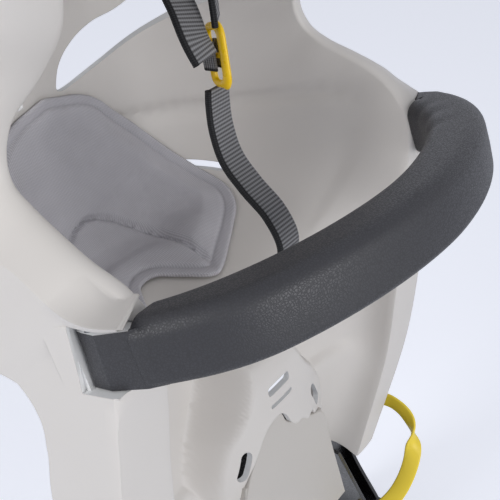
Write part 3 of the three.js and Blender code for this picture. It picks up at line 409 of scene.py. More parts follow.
def wovenWebbing(name, dark, light, edgeBlackAndShadowHex, rib):
    # Woven webbing: raised weft ribs across the strap, a rib apart along v, crossed by fine warp, with painted light
    # on the ribs and painted shade between them, and a dark band on the beaded side that is partly the edge's own
    # black and partly painted shadow beside the bead. u runs from 0 to 1 across the strap and v along it in metres.
    made = newMaterial(name)
    tree = made[1]
    both = addNode(tree, "ShaderNodeMath", {0: threadWave(tree, 13, 0), 1: 0.25, 2: threadWave(tree, 0, 1000 / rib)},
                   operation="MULTIPLY_ADD").outputs[0]
    height = addNode(tree, "ShaderNodeMapRange", {"Value": both, "From Min": -1.25, "From Max": 1.25}).outputs[0]
    uv = addNode(tree, "ShaderNodeUVMap", uv_map="UVMap").outputs[0]
    apart = addNode(tree, "ShaderNodeSeparateXYZ", {"Vector": uv})
    # the dark band on the beaded edge: the edge's own black, and painted shadow beside the bead
    inEdge = addNode(tree, "ShaderNodeMapRange", {"Value": apart.outputs[0], "From Min": 0.13, "From Max": 0.09})
    return finished(made, (dark, light, height), {"Roughness": 0.8, "Specular IOR Level": 0.3}, (0.8, 0.4, height),
                    over=(edgeBlackAndShadowHex, inEdge.outputs[0]))


def braidedCord(name, dark, light, pitch):
    # Braided polyester cord: two sets of threads wind round it, a pitch apart, and show as small knots.
    # u runs round it and v along it in metres.
    made = newMaterial(name)
    tree = made[1]
    right, left = (threadWave(tree, turns, 1000 / pitch) for turns in (3, -3))
    knots = addNode(tree, "ShaderNodeMath", {0: right, 1: left}, operation="MULTIPLY").outputs[0]
    # painted light on the knots and painted shade between them
    height = addNode(tree, "ShaderNodeMapRange", {"Value": knots, "From Min": -1.0, "From Max": 1.0}).outputs[0]
    return finished(made, (dark, light, height), {"Roughness": 0.75, "Specular IOR Level": 0.3}, (0.9, 0.6, height))


blankMaterial = bpy.data.materials.new("blank")
# Polypropylene from an eroded mould: satin, with a warm pale grey all through
shellPlastic = mouldedPlastic("satin polypropylene", "#d9d4cf", "#dedad6", 0.46, 1.1, 0.02, 1.0, 0.4)
# The same plastic in the front panel, a shade greyer
panelPlastic = mouldedPlastic("satin polypropylene, grey", "#c6c1bb", "#ccc7c1", 0.5, 1.1, 0.02, 1.0, 0.4)
# ABS from a polished mould: black with a soft gloss
blackAbs = mouldedPlastic("black ABS", "#0d0d0e", "#131315", 0.28, 1.5, 0.01, 0.7)
# Acetal, moulded glossy
yellowAcetal = mouldedPlastic("yellow acetal", "#fbcb08", "#fed112", 0.3, 1.4, 0.01, 0.6)
# Soft thermoplastic of the foot straps
yellowSoft = mouldedPlastic("yellow soft plastic", "#ffe03a", "#ffe34a", 0.42, 1.2, 0.01, 0.5)
# its darker colour is painted shade in the grain's creases
barNylon = grainedNylon("leather-grained nylon", "#17171a", "#232328", 1.5, 0.12)
# its two colours are painted shade in the grooves and painted light on the ribs
padKnit = knitFabric("ribbed knit", "#a6a4aa", "#d6d4d9", 1.25, 2.0)
# painted shade and light on the ribs; the last colour is the beaded edge's own black with painted shadow beside the
# bead
strapWeave = wovenWebbing("ribbed polyester webbing", "#484647", "#98989a", "#2a292a", 2.4)
# its two colours are painted shade between the knots and painted light on them
braidBlack = braidedCord("braided polyester cord", "#0a0a0b", "#2c2c2e", 2.6)

slotMaterials = {
    "shell": shellPlastic, "charcoal": barNylon, "black": blackAbs, "knit": padKnit, "webbing": strapWeave,
    "yellow": yellowAcetal, "yellow_strap": yellowSoft, "steel": zincSteel(),
}
for entry in frame["record"]["subparts"]:
    solid = frame["nodes"][entry["node"]]
    solid.data.materials.clear()
    solid.data.materials.append(slotMaterials[entry["material_slot"]])
print("materials made")

shellForm = {
    "stations": 26, "evenTo": 0.47,
    "seatDepth": 200.0, "backHeight": 285.0, "floorDrop": 103.0, "legDrop": 325.0, "rimHalfWidth": 147.0,
    "rollWidth": 31.0, "rollCrown": 6.0, "rollDrop": 21.0, "guardCrown": 2.6, "guardPower": 0.3, "wall": 4.0,
    "pommelHalfWidth": 50.0, "pommelSlope": 14.0, "pommelBow": 11.0, "legFrom": 34.0,
    "sectionPower": 3.2, "skirtOut": 1.0, "rowsPerStation": 8, "wallColumns": 86, "evenColumns": 34, "rollColumns": 12,
    "skirtColumns": 7,
}
backShares = {
    "middle": [[1.3, 0.945], [1.29, 0.99], [1.245, 1.005], [1.21, 0.97], [1.18, 0.86], [1.155, 0.72], [1.125, 0.57],
               [1.095, 0.43], [1.06, 0.28], [1.03, 0.13], [1, 0]],
    "rim": [[0.74, 1.16, 0.93], [0.75, 1.14, 0.965], [0.75, 1.1, 0.975], [0.76, 1.03, 0.955], [0.81, 0.8, 0.915],
            [0.825, 0.52, 0.85], [0.81, 0.32, 0.735], [0.775, 0.236, 0.61], [0.735, 0.256, 0.49],
            [0.755, 0.336, 0.39], [0.84, 0.396, 0.31]],
    "skirt": [[1.22, 0.9], [1.22, 0.9], [1.21, 0.9], [1.15, 0.88], [1, 0.83], [0.8, 0.74], [0.65, 0.62], [0.6, 0.5],
              [0.63, 0.36], [0.68, 0.22], [0.72, 0.1]],
    "roll": [0.35, 0.4, 0.5, 0.6, 0.9, 1.17, 1.35, 1.47, 1.55, 1.48, 1.28],
}
floorShares = {
    "middle": [[0.97, 0.4], [0.915, 0.74], [0.78, 0.95], [0.55, 0.99], [0.3, 1.01]],
    "rim": [[0.878, 0.406, 0.245], [0.9, 0.376, 0.2], [0.907, 0.306, 0.17], [0.922, 0.206, 0.146], [0.93, 0.1, 0.12]],
    "skirt": [[0.74, 0], [0.72, -0.06], [0.64, -0.1], [0.52, -0.125], [0.4, -0.14]],
    "roll": [1.13, 1.03, 0.99, 0.94, 0.96],
}
frontShares = {
    "middle": [[0.065, 0.348], [0.03, 0.378], [0.005, 0.435], [-0.02, 0.492], [-0.045, 0.545], [-0.05, 0.565],
               [0.03, 0.572], [0.12, 0.58], [0.12, 0.66], [0.12, 0.73], [0.12, 0.795]],
    "channel": [[0.26, 0.335], [0.235, 0.372], [0.215, 0.435], [0.19, 0.492], [0.17, 0.54], [0.16, 0.56],
                [0.15, 0.568], [0.12, 0.58], [0.12, 0.66], [0.12, 0.73], [0.12, 0.795]],
    "rim": [[0.905, 0, -0.072], [0.885, -0.06, -0.018], [0.875, -0.07, 0.13], [0.885, -0.07, 0.25],
            [0.89, -0.075, 0.36], [0.885, -0.075, 0.44], [0.875, -0.075, 0.52], [0.845, -0.075, 0.6],
            [0.775, -0.075, 0.68], [0.7, -0.075, 0.75], [0.605, -0.075, 0.84]],
    "skirt": [[0.3, 0.14], [0.225, 0.175], [0.195, 0.235], [0.195, 0.32], [0.195, 0.4], [0.2, 0.48], [0.19, 0.55],
              [0.17, 0.62], [0.14, 0.7], [0.1, 0.77], [0.05, 0.84]],
    "roll": [0.95, 1.12, 1.25, 1.27, 1.27, 1.26, 1.22, 1.16, 1.1, 1, 0.85],
    "pommel": [0.4, 0.47, 0.66, 0.98, 1.16, 1.22, 1.26, 1.28, 1.28, 1.28, 1.28],
    # the two legs of the pommel's front beside the panel, which reach further down than its middle
    "legs": [[0.065, 0.348], [0.03, 0.378], [0.005, 0.435], [-0.02, 0.492], [-0.045, 0.545], [-0.055, 0.585],
             [-0.06, 0.625], [-0.06, 0.662], [0.03, 0.682], [0.12, 0.73], [0.12, 0.795]],
}


def shellCurves(along):
    # The shell's lines down the back, over the floor and down the front, at each share of the way: middle, channel,
    # rim, skirt and the pommel's legs, then the pommel's half width and the roll's width
    s = shellForm
    back, floor = s["backHeight"], -s["floorDrop"]

    def line(key, floorHeight, frontKey=None):
        tables = zip((backShares[key], floorShares[key], frontShares[frontKey or key]),
                     (back, floorHeight, -s["legDrop"]))
        rows = [[*[0, *row[:-1]][-2:], row[-1] * height] for table, height in tables for row in table]
        return throughPoints(np.array(rows) * [s["rimHalfWidth"], s["seatDepth"], 1], along)

    pommel = frontShares["pommel"]
    pommel = np.array(pommel[:1] * (s["stations"] + 1 - len(pommel)) + pommel)
    roll = backShares["roll"] + floorShares["roll"] + frontShares["roll"]
    return (line("middle", floor), line("middle", floor, "channel"), line("rim", back), line("skirt", back),
            line("middle", floor, "legs"), s["pommelHalfWidth"] * throughPoints(pommel[:, None], along)[:, 0],
            s["rollWidth"] * np.interp(along * s["stations"], np.arange(s["stations"] + 1), roll))


def wallPoints(along, x):
    # The inner face: from the middle line over the pommel's legs and slope to the channel line, and up a superellipse
    # to the rim; the pommel's front bows forward as x squared. along and x are arrays of one shape, x in millimetres.
    s = shellForm
    middle, channel, rim, _, legs, pommel, _ = shellCurves(along.ravel())
    far = np.abs(x).ravel()
    share = np.clip(far / rim[:, 0], 0, 1)
    rise = 1 - (1 - share**s["sectionPower"]) ** (1 / s["sectionPower"])
    bow = (s["pommelBow"] * np.minimum(far / s["pommelHalfWidth"], 1.3) ** 2
           * smoothStep((along.ravel() * s["stations"] - 17) / 2.5))[:, None] * [0, 1, 0]
    inFront = smoothStep((channel[:, 1:2] - middle[:, 1:2] - 8) / 12)
    front = middle + bow * inFront
    front = front + (legs + bow - front) * smoothStep((far - s["legFrom"]) / 6)[:, None]
    place = front + (channel - front) * smoothStep((far - pommel) / s["pommelSlope"])[:, None]
    place = place + (rim - place) * rise[:, None]
    place[:, 0] = x.ravel()
    return place.reshape(*x.shape, 3)


def sheetNormals(rows):
    # Unit directions out of the back of a grid of points
    return unit(np.cross(np.gradient(rows, axis=1), np.gradient(rows, axis=0)))


def shellRows():
    # The whole front sheet from one side's skirt over its roll, across the wall to the other skirt.
    # The roll is a half wave across on the wings, low and square on the leg guards; on the arms it turns over its
    # inner edge as a quarter circle and then runs nearly flat to a crisp outer ridge.
    s = shellForm
    along = np.linspace(0, 1, s["stations"] * s["rowsPerStation"] + 1)
    _, _, rim, skirt, _, _, rollWidth = shellCurves(along)
    # columns lie evenly over the middle, and then by the superellipse's own angle, closer towards the rim
    power = s["sectionPower"] / 2
    turn = np.linspace(math.asin(s["evenTo"] ** power), math.pi / 2, s["wallColumns"] - s["evenColumns"])
    columns = np.concatenate([np.linspace(0, s["evenTo"], s["evenColumns"], endpoint=False),
                              np.sin(turn) ** (1 / power)])
    wall = wallPoints(np.repeat(along[:, None], s["wallColumns"], 1), rim[:, :1] * columns)
    run = unit(np.gradient(rim, axis=0) * [0, 1, 1])[:, None]
    q = np.linspace(0, 1, s["rollColumns"] + 1)[None, 1:]
    station = (along * s["stations"])[:, None]
    guard = smoothStep((station - 16.6) / 1.4)
    arm = smoothStep((station - 5) / 4) * (1 - guard)
    hang = (smoothStep((station - 4) / 4) * (1 - 0.57 * smoothStep((station - 10.5) / 4))
            * (1 - smoothStep((station - 15.2) / 1.6)))
    arch = np.sin(q * math.pi)
    over = q**2
    turned = np.sqrt(1 - (1 - np.minimum(over / 0.38, 1)) ** 2) - 0.9 * smoothStep((over - 0.3) / 0.9)
    lift = (s["rollCrown"] * (arch**0.7 * (1 - arm) * (1 - guard) + turned * arm)
            + s["guardCrown"] * arch ** s["guardPower"] * guard - s["rollDrop"] * hang * over)
    out = (1 - np.cos(q * math.pi)) / 2 * (1 - arm) + over * arm
    roll = np.stack([rim[:, :1] + rollWidth[:, None] * out,
                     rim[:, 1:2] + run[..., 2] * lift, rim[:, 2:3] - run[..., 1] * lift], -1)
    k = np.linspace(0, 1, s["skirtColumns"] + 1)[None, 1:, None]
    outer = roll[:, -1:]
    free = np.concatenate([outer[..., :1] + s["skirtOut"], skirt[:, None, 1:]], -1)
    half = np.concatenate([wall, roll, outer + (free - outer) * k], 1)
    rows = np.concatenate([half[:, :0:-1] * [-1, 1, 1], half], 1)
    share = np.repeat(np.arcsin(columns**power)[None] / (math.pi / 2), len(along), 0)
    sunk = np.pad(bandDepth(along[:, None], share), ((0, 0), (0, half.shape[1] - s["wallColumns"])))
    sunk = np.concatenate([sunk[:, :0:-1], sunk], 1)
    return rows + sheetNormals(rows) * sunk[..., None]


sideBand = {
    # The long shallow recess round the seat: down the shell and out from the middle, both as shares
    "upper": [[0.167, 0.396], [0.358, 0.406], [0.617, 0.427], [0.867, 0.473], [0.967, 0.531], [1, 0.59]],
    "lower": [[0.167, 0.408], [0.242, 0.41], [0.596, 0.444], [0.833, 0.487], [0.938, 0.54], [1, 0.61]],
    "depth": 3.2, "upperEdge": 0.004, "lowerEdge": 0.013, "from": 0.12, "to": 0.955,
}


def bandDepth(along, share):
    # Full depth between the two lines, with a tight step at the upper one and a soft one at the lower
    b = sideBand
    line = lambda table: np.interp(share, *throughPoints(table, np.linspace(0, 1, 60)).T)
    into = smoothStep((along - line(b["upper"])) / b["upperEdge"])
    out = 1 - smoothStep((along - line(b["lower"]) + b["lowerEdge"] / 2) / b["lowerEdge"])
    ends = smoothStep((share - b["from"]) / 0.06) * (1 - smoothStep((share - b["to"]) / 0.03))
    return b["depth"] * into * out * ends


barTilt = math.radians(21)


def inBarPlane(points, tilt=barTilt):
    # Turns points about the line through the bar's ends, so that the bar's plane rises forward
    points = np.asarray(points, float)
    c, s = math.cos(tilt), math.sin(tilt)
    return np.stack([points[..., 0], points[..., 1] * c + points[..., 2] * s,
                     -points[..., 1] * s + points[..., 2] * c], -1)


def leaningBack(a, b, level):
    # As places["bar"], with the back end further back the lower it is, by 8.5 mm in 32
    lean = 8.5 * np.clip((14 - level) / 32, 0, 1.1) * smoothStep((b + 12) / 12)
    return places["bar"](a, b + lean, level)


openings = {
    "vent": [[0.11, 0.07], [0.4, 0.105], [0.62, 0.18], [0.7, 0.228], [0.75, 0.28], [0.735, 0.335], [0.69, 0.36],
             [0.65, 0.335], [0.6, 0.285], [0.49, 0.23], [0.375, 0.207], [0.265, 0.178], [0.17, 0.14], [0.125, 0.105]],
    "strapSlots": [208.05, 168.05], "strapSlotMiddle": 38, "strapSlotHalf": 12, "slotHalf": 3,
    "pommelSlot": [-137, 12, 3.4], "pommelSlit": [-148.5, 12, 1.3],
    "ovals": [[41.0, -172.0], [46.5, -184.5], 4.2],
    "crotchSlot": [40, 12], "sideSlot": [[135, -62], [165, -62]],
    # the scalloped lip over the front panel, from the near leg's foot to the far one's
    "window": [[-72.6, -299], [-56, -225], [-48.5, -199], [-43, -188.5], [-36, -179], [-29.5, -171], [-21.5, -162.5],
               [-13, -158.3], [-4.5, -158], [0.5, -163], [3.5, -170.5], [9, -175.3], [16, -176.5], [23, -182],
               [35, -189], [49, -196.5], [56, -225], [72.6, -299]],
    "screws": [[28, -208], [28, -240], [-28, -208], [-28, -240]],
}


def windowOutline(inset=0.0):
    # The same outline drawn smoothly, and drawn in all round by the inset
    corners = np.array(openings["window"], float)
    line = np.vstack([corners[:1], evenPoints(corners[1:-1], 90), corners[-1:]])
    run = unit(np.gradient(line, axis=0))
    return line + np.stack([run[:, 1], -run[:, 0]], 1) * inset


def shellCutters():
    # Each cutter is an outline, the two levels that it runs between and the axis along which it runs
    o = openings
    half, middle, reach = o["slotHalf"], o["strapSlotMiddle"], o["strapSlotHalf"] - o["slotHalf"]
    vent = closedCurve(np.array(o["vent"]) * [shellForm["rimHalfWidth"], shellForm["backHeight"]], 90)
    slots = [slotOutline((middle - reach, z), (middle + reach, z), half) for z in o["strapSlots"]]
    sideSlot = slotOutline(*o["sideSlot"], half)
    depth, wide = o["crotchSlot"]
    cuts = [(v, 100, 400, "y") for outline in (vent, *slots) for v in bothSides(outline)]
    cuts += [(roundedRect(across, high, high * 0.7) + [0, z], -50, 16, "y")
             for z, across, high in (o["pommelSlot"], o["pommelSlit"])]
    cuts += [(v, -50, 22, "y") for v in bothSides(slotOutline(*o["ovals"]))]
    cuts += [(roundedRect(wide, half, 2.0) + [0, depth], -119, -87, "z"), (sideSlot, 73.5, 147, "x"),
             (sideSlot, -147, -73.5, "x"), (windowOutline(), -50, 20, "y")]
    cuts += [(circleOutline(x, z, 2.5, 24), 22, 30, "y") for x, z in o["screws"]]
    return [outlineSolid(outline, low, high, places[axis]) for outline, low, high, axis in cuts]


armEnds = {
    "farBlock": [[137, -14], [150, -12], [159, -4], [162, 2], [162, 28], [137, 28]],
    "inner": 137.0, "outer": 164.8, "back": 28.0, "front": -12.0, "half": 20.0,
    "pocketInner": 145.5, "pocketOuter": 163.0, "pocketFront": -59.0, "pocketHalf": 16.5, "nearPocket": [-18.3, 19.5],
    # the pocket's open side at the near arm
    "mouth": [[-181, -59], [-162.2, -59], [-162.2, 6.5], [-168, 5], [-181, 5]],
    # the hood over the near root of the bar: its two front corners, the fullness of its ends and its underside
    "hoodInner": [-133.5, -13.0, 21.0], "hoodOuter": [-166.5, -31.5, 22.0], "hoodFrom": 15, "hoodEdge": 1.2,
    "hoodFoot": 19.6, "hoodUnder": 3.0, "hoodRows": 22,
}


def hoodPiece(rows):
    # Each line of the roll runs on from the arm to the hood's front edge as a cubic with both end slopes, and
    # turns down there as a quarter circle; the underside is flat
    m = armEnds
    first = rows.shape[1] // 2 + shellForm["wallColumns"]
    columns = slice(first - 1, first + shellForm["rollColumns"])
    at = m["hoodFrom"] * shellForm["rowsPerStation"]
    start = rows[at, columns] * [-1, 1, 1] - [0, 0, 0.3]
    slope = unit((rows[at, columns] - rows[at - 3, columns]) * [-1, 1, 1])
    q = np.linspace(0, 1, len(start))[:, None] ** 2
    ends = inBarPlane(np.array(m["hoodInner"]) * (1 - q) + np.array(m["hoodOuter"]) * q)
    landing, ahead, down = inBarPlane([[0.45, -0.86, -0.18], [0.49, -0.87, 0], [0, 0, -1]])
    reach = np.linalg.norm(ends - start, axis=1, keepdims=True)
    t = np.linspace(0, 1, m["hoodRows"])[:, None, None]
    top = ((2 * t**3 - 3 * t**2 + 1) * start + (t**3 - 2 * t**2 + t) * slope * reach
           + (3 * t**2 - 2 * t**3) * ends + (t**3 - t**2) * landing * reach)
    turns = np.linspace(0, math.pi / 2, 6)[1:, None, None]
    top = np.concatenate([top, ends + m["hoodEdge"] * (np.sin(turns) * ahead + (1 - np.cos(turns)) * down)])
    under = inBarPlane(top, -barTilt)
    under[..., 0] += m["hoodUnder"] * q[:, 0]
    under[..., 2] = m["hoodFoot"]
    return thickSheet("hood", top, inBarPlane(under), blankMaterial, None)


def dressArmEnds(shell, rows):
    # A block under both arm ends holds the bar; the near one has the hood over the bar's root and opens outwards
    m = armEnds
    block = rectangle(m["inner"], m["outer"], m["front"], m["back"])
    added = [outlineSolid(v, -m["half"], m["half"], places["bar"], 1.5) for v in (mirrorOutline(block), m["farBlock"])]
    boolean(shell, added + [hoodPiece(rows)], "UNION")
    inner, outer, front = m["pocketInner"], m["pocketOuter"], m["pocketFront"]
    cuts = [(rectangle(inner, outer, front, 9.5), -m["pocketHalf"], m["pocketHalf"], places["bar"]),
            (rectangle(-outer, -inner, front, 11), *m["nearPocket"], places["bar"]),
            (m["mouth"], *m["nearPocket"], leaningBack),
            (circleOutline(-barForm["pinX"], 0, 3.3), -24, 24, places["bar"]),
            (circleOutline(-barForm["pinX"], 0, 5.3), -26, -m["half"], places["bar"]),
            (circleOutline(-2, 0, 7.5), barForm["pinX"], 178, places["barX"])]
    return boolean(shell, [outlineSolid(*cut) for cut in cuts], "DIFFERENCE")


barForm = {
    "span": 155.0, "bulge": 93.0, "root": 24.0, "curvePower": 1.8, "width": 35.0, "height": 36.0,
    "corners": [10.0, 10.0, 4.5, 4.5], "crown": 0.8, "rings": 150, "pinX": 156.5, "dents": [0.08, 0.16, 0.24],
    "rootIn": [9.0, 2.5], "rootReach": 40.0,  # the outer face draws in towards the near and far ends
    # near tongue about the pin, far tongue about its mirror, both as x and y in the bar's plane
    "nearTongue": [[8.5, -32], [9, 0], [6.4, 6.4], [0, 9], [-2.5, 8], [-3.8, 2.5], [-4.9, -7], [0.9, -24], [6.5, -33]],
    "farTongue": [[-9, -30], [-9, 7], [6, 7], [7, 2], [7, -14], [4, -26], [0, -32]],
    "step": [[-182, -25], [-120, -25], [-120, 16], [-182, 16]], "stepFoot": 14.0,
}

front = shellRows()
shellPiece = thickSheet("shell", front, front + sheetNormals(front) * shellForm["wall"], shellPlastic)
dressArmEnds(shellPiece, front)
sharpen(boolean(shellPiece, shellCutters(), "DIFFERENCE"), 38)
standFor(shellPiece, "seat_shell")
print("shell made", len(shellPiece.data.polygons))

padForm = {
    # outline: down the shell and out from the middle as a share of the rim, from the top middle to the notch's middle
    "outline": [[0.3635, 0], [0.3645, 0.05], [0.3663, 0.11], [0.3712, 0.27], [0.3788, 0.38], [0.3942, 0.49],
                [0.4125, 0.61], [0.451, 0.765], [0.4808, 0.825], [0.5058, 0.845], [0.5183, 0.826], [0.5308, 0.768],
                [0.5413, 0.647], [0.55, 0.498], [0.5562, 0.37], [0.5585, 0.29], [0.556, 0.235], [0.5485, 0.175],
                [0.5405, 0.118], [0.5345, 0.07], [0.5325, 0]],
    "crease": [[0.4575, 0], [0.4606, 0.06], [0.4712, 0.17], [0.4904, 0.285], [0.5106, 0.345], [0.5308, 0.352],
               [0.5471, 0.34], [0.556, 0.31]],
    "shrink": 0.957, "gap": 2.2, "binding": 7.5, "bindingHigh": 3.0, "edgeRound": 1.3, "crown": 9.5, "shoulder": 17.0,
    "seamDeep": 0.9, "seamHalf": 1.4, "creaseDeep": 4.6, "creaseHalf": 4.2, "stepDown": 2.4,
    "spacing": 2.5, "voxel": 4.5, "pressure": 4.0, "frames": 20, "cap": 5.0,
    "rings": [0.35, 0.9, 1.8, 3.6, 5.4, 6.6, 7.5, 8.4, 9.8, 11.8, 14.2],
    "creaseLines": [-5, -3.2, -1.6, 0, 1.6, 3.2, 5],
}


def wallFrame(along, share):
    # A point of the inner face and its direction into the seat, from its own two slopes
    step = 1e-3
    at = lambda a, s: wallPoints(a, shellCurves(a)[2][:, 0] * s)
    down = at(along + step, share) - at(along - step, share)
    over = at(along, share + step) - at(along, share - step)
    return at(along, share), -unit(np.cross(over, down))


def clothSwell(piece, p):
    # A coarse copy of the pad is blown up as cloth with its edge free; gives each of its points and its movement
    copy = bpy.data.objects.new("swell", piece.data.copy())
    scene.collection.objects.link(copy)
    remesh = copy.modifiers.new("remesh", "REMESH")
    remesh.mode = "VOXEL"
    remesh.voxel_size = p["voxel"] / 1000
    applyModifiers(copy)
    rest = np.empty((len(copy.data.vertices), 3))
    copy.data.vertices.foreach_get("co", rest.ravel())
    cloth = copy.modifiers.new("cloth", "CLOTH")
    settings = cloth.settings
    settings.quality = 6
    settings.mass = 0.3
    settings.tension_stiffness = settings.compression_stiffness = 15
    settings.shear_stiffness = 5
    settings.bending_stiffness = 0.5
    settings.use_pressure = True
    settings.uniform_pressure_force = p["pressure"]
    settings.effector_weights.gravity = 0
    cloth.point_cache.frame_start, cloth.point_cache.frame_end = 1, p["frames"]
    for step in range(1, p["frames"] + 1):
        scene.frame_set(step)
    moved = np.empty_like(rest)
    graph = bpy.context.evaluated_depsgraph_get()
    copy.evaluated_get(graph).data.vertices.foreach_get("co", moved.ravel())
    scene.frame_set(1)
    for used in (copy, piece):
        bpy.data.objects.remove(used)
    return rest, moved - rest


def nearestMean(points, known, values, count=60):
    # Mean of the nearest known values, each weighed by one over its distance and 4 mm; in blocks of whole arrays
    points = (points + originShift) / 1000
    found = []
    for block in np.array_split(points, max(1, len(points) // 400)):
        apart = np.linalg.norm(block[:, None] - known[None], axis=-1)
        near = np.argpartition(apart, count, axis=1)[:, :count]
        weight = 1 / (np.take_along_axis(apart, near, 1) + 4e-3)
        found.append((values[near] * weight[..., None]).sum(1) / weight.sum(1, keepdims=True))
    return np.concatenate(found) * 1000


def padPiece():
    # The pad is flat cloth first: its outline in millimetres, filled with triangles. Each point is then lifted off
    # the shell's inner face by a binding's height and, inside the seam, by a foam shoulder
    # crown (1 - (1 - d)^2.4)^(1/2.4), swollen by the cloth run; the crease is pressed in last.
    p = padForm
    table = np.linspace(0, 1, 200)
    reach = reachAlong(wallFrame(np.full(200, 0.47), table)[0])
    middle = wallFrame(np.linspace(0.36, 0.56, 200), np.zeros(200))[0]
    perAlong = reachAlong(middle)[-1] / 0.2

    def toCloth(name):
        points = np.array(p[name], float) * [1, p["shrink"]]
        return np.stack([np.interp(points[:, 1], table, reach), points[:, 0] * perAlong], 1)

    half = toCloth("outline")
    loop = closedCurve(np.vstack([half, half[-2:0:-1] * [-1, 1]]), 420)
    crease = evenPoints(toCloth("crease"), 80)
    crease = np.vstack([crease[:0:-1] * [-1, 1], crease])
    closed = np.vstack([loop, loop[:1]])
    inner = []
    for inset in p["rings"]:
        ring = loop + inwards(loop) * inset
        inner.append(ring[toLine(ring, closed) > inset * 0.93])
    turn = unit(np.gradient(crease, axis=0))
    for offset in p["creaseLines"]:
        line = crease + np.stack([-turn[:, 1], turn[:, 0]], 1) * offset
        inner.append(line[toLine(line, closed) > 16])
    low, high = loop.min(0), loop.max(0)
    grid = np.stack(np.meshgrid(*(np.arange(low[k], high[k], p["spacing"]) for k in (0, 1))), -1).reshape(-1, 2)
    grid[:, 0] += (np.round((grid[:, 1] - low[1]) / p["spacing"]) % 2) * p["spacing"] / 2
    grid = grid[(toLine(grid, closed) > 16) & (toLine(grid, crease) > 6.5)]
    flat = np.vstack([loop, *inner, grid])
    edges = [(i, (i + 1) % len(loop)) for i in range(len(loop))]
    made = delaunay_2d_cdt([Vector(v) for v in flat], edges, [], 1, 1e-4)
    cloth = np.array([list(v) for v in made[0]])
    triangles = np.array([list(face) for face in made[2]])
    apart, beside = toLine(cloth, closed), toLine(cloth, crease)
    onEdge = apart < 1e-3
    share = np.sign(cloth[:, 0]) * np.interp(np.abs(cloth[:, 0]), reach, table)
    wall, facing = wallFrame(cloth[:, 1] / perAlong, share)
    deep = np.clip((apart - p["binding"]) / p["shoulder"], 0, 1)
    foam = (1 - (1 - deep) ** 2.4) ** (1 / 2.4) * (p["crown"] - p["bindingHigh"])
    edge = p["bindingHigh"] * np.sqrt(1 - (1 - np.minimum(apart / p["edgeRound"], 1)) ** 2)
    seam = p["seamDeep"] * bump(apart - p["binding"], p["seamHalf"])

    def build(height):
        top = wall + facing * (p["gap"] + height)[:, None]
        under = (wall + facing * p["gap"])[~onEdge]
        place = np.arange(len(cloth))
        place[~onEdge] = len(cloth) + np.arange((~onEdge).sum())
        faces = np.concatenate([triangles, place[triangles][:, ::-1]])
        uv = np.concatenate([cloth, cloth[~onEdge]]) / 1000
        return makeMesh("seatPad", np.concatenate([top, under]), faces, padKnit, "seat", uv), top

    slack, top = build(edge + foam * 0.75)
    moved = nearestMean(top, *clothSwell(slack, p))
    swell = np.clip((moved * facing).sum(1), 0, p["cap"]) * smoothStep((apart - p["binding"] - 1) / 12)
    foam = foam * 0.75 + swell
    print("pad blown up, points moved by up to", round(float(swell.max()), 1), "mm")
    inside = np.abs(cloth[:, 0]) < np.interp(cloth[:, 1], crease[79:, 1], crease[79:, 0], left=0)
    fade = smoothStep((apart - p["binding"]) / 10)
    pressed = p["creaseDeep"] * np.exp(-(beside / (p["creaseHalf"] * 0.6)) ** 2) * smoothStep((apart - 3) / 8)
    step = p["stepDown"] * inside * np.exp(-beside / 26) * fade
    height = np.maximum(edge + foam - seam - pressed - step, np.minimum(edge, 1.6))
    height[onEdge] = 0
    piece, _ = build(height)
    standFor(piece, "seat_pad")


padPiece()
print("seat pad made")



def barPiece():
    # A rounded box section carried round x = span cos^(2/p), y = -bulge sin^(2/p), with round shoulders on top,
    # tighter ones below and three shallow finger dents on the far shoulder
    b = barForm
    wide, tall, power = b["width"] / 2, b["height"] / 2, b["curvePower"]
    start = math.asin((b["root"] / b["bulge"]) ** (power / 2))
    t = np.linspace(start, math.pi - start, b["rings"])
    c, s = np.cos(t), np.sin(t)
    line = np.stack([b["span"] * np.sign(c) * np.abs(c) ** (2 / power), -b["bulge"] * s ** (2 / power),
                     np.zeros_like(t)], -1)
    run = unit(np.gradient(line, axis=0))
    run[0], run[-1] = (0, -1, 0), (0, 1, 0)
    out = np.cross([0, 0, 1], run)
    out = out * np.sign((out * line).sum(1, keepdims=True))
    section = roundedRect(wide, tall, b["corners"], 9)
    # a point between each two, so that the flats can be crowned
    section = np.stack([section, (section + np.roll(section, -1, 0)) / 2], 1).reshape(-1, 2)
    section[:, 0] += np.sign(section[:, 0]) * b["crown"] * (1 - (section[:, 1] / tall) ** 2)
    near = 1 - smoothStep((-line[:, 1] - b["root"]) / b["rootReach"])[:, None]
    inward = np.where(line[:, :1] < 0, *b["rootIn"])
    across = section[None, :, 0] - near * inward * smoothStep((section[:, 0] + 4) / 14)[None]
    share = np.linspace(0, 1, b["rings"])[:, None]
    dents = sum(bump(share - place, 0.035) for place in b["dents"])
    shoulder = bump(np.arctan2(section[:, 1], section[:, 0])[None] - math.radians(128), 0.9)
    size = 1 - 0.05 * dents * shoulder
    rings = (line[:, None] + out[:, None] * (across * size)[..., None]
             + np.array([0, 0, 1]) * (section[None, :, 1] * size)[..., None])
    piece = loftRings("safetyBar", inBarPlane(rings), barNylon, "bar")
    pinX = b["pinX"]

    def nearPlace(a, b, level):
        # The near tongue's back follows the housing's leaning back, 0.2 mm clear of it
        return leaningBack(a, np.minimum(b, 9.6 - 8.5 * (14 - level) / 32), level)

    boolean(piece, [outlineSolid(np.array(b["nearTongue"]) - [pinX, 0], -17.6, 14.5, nearPlace, 0.8),
                    outlineSolid(np.array(b["farTongue"]) + [pinX, 0], -15, 16, places["bar"], 0.8)], "UNION")
    boolean(piece, [outlineSolid(b["step"], b["stepFoot"], 30, places["bar"]),
                    outlineSolid(circleOutline(-pinX, 0, 3.3), -36, 36, places["bar"])], "DIFFERENCE")
    standFor(sharpen(piece, 20), "safety_bar")


barPiece()
print("bar made")


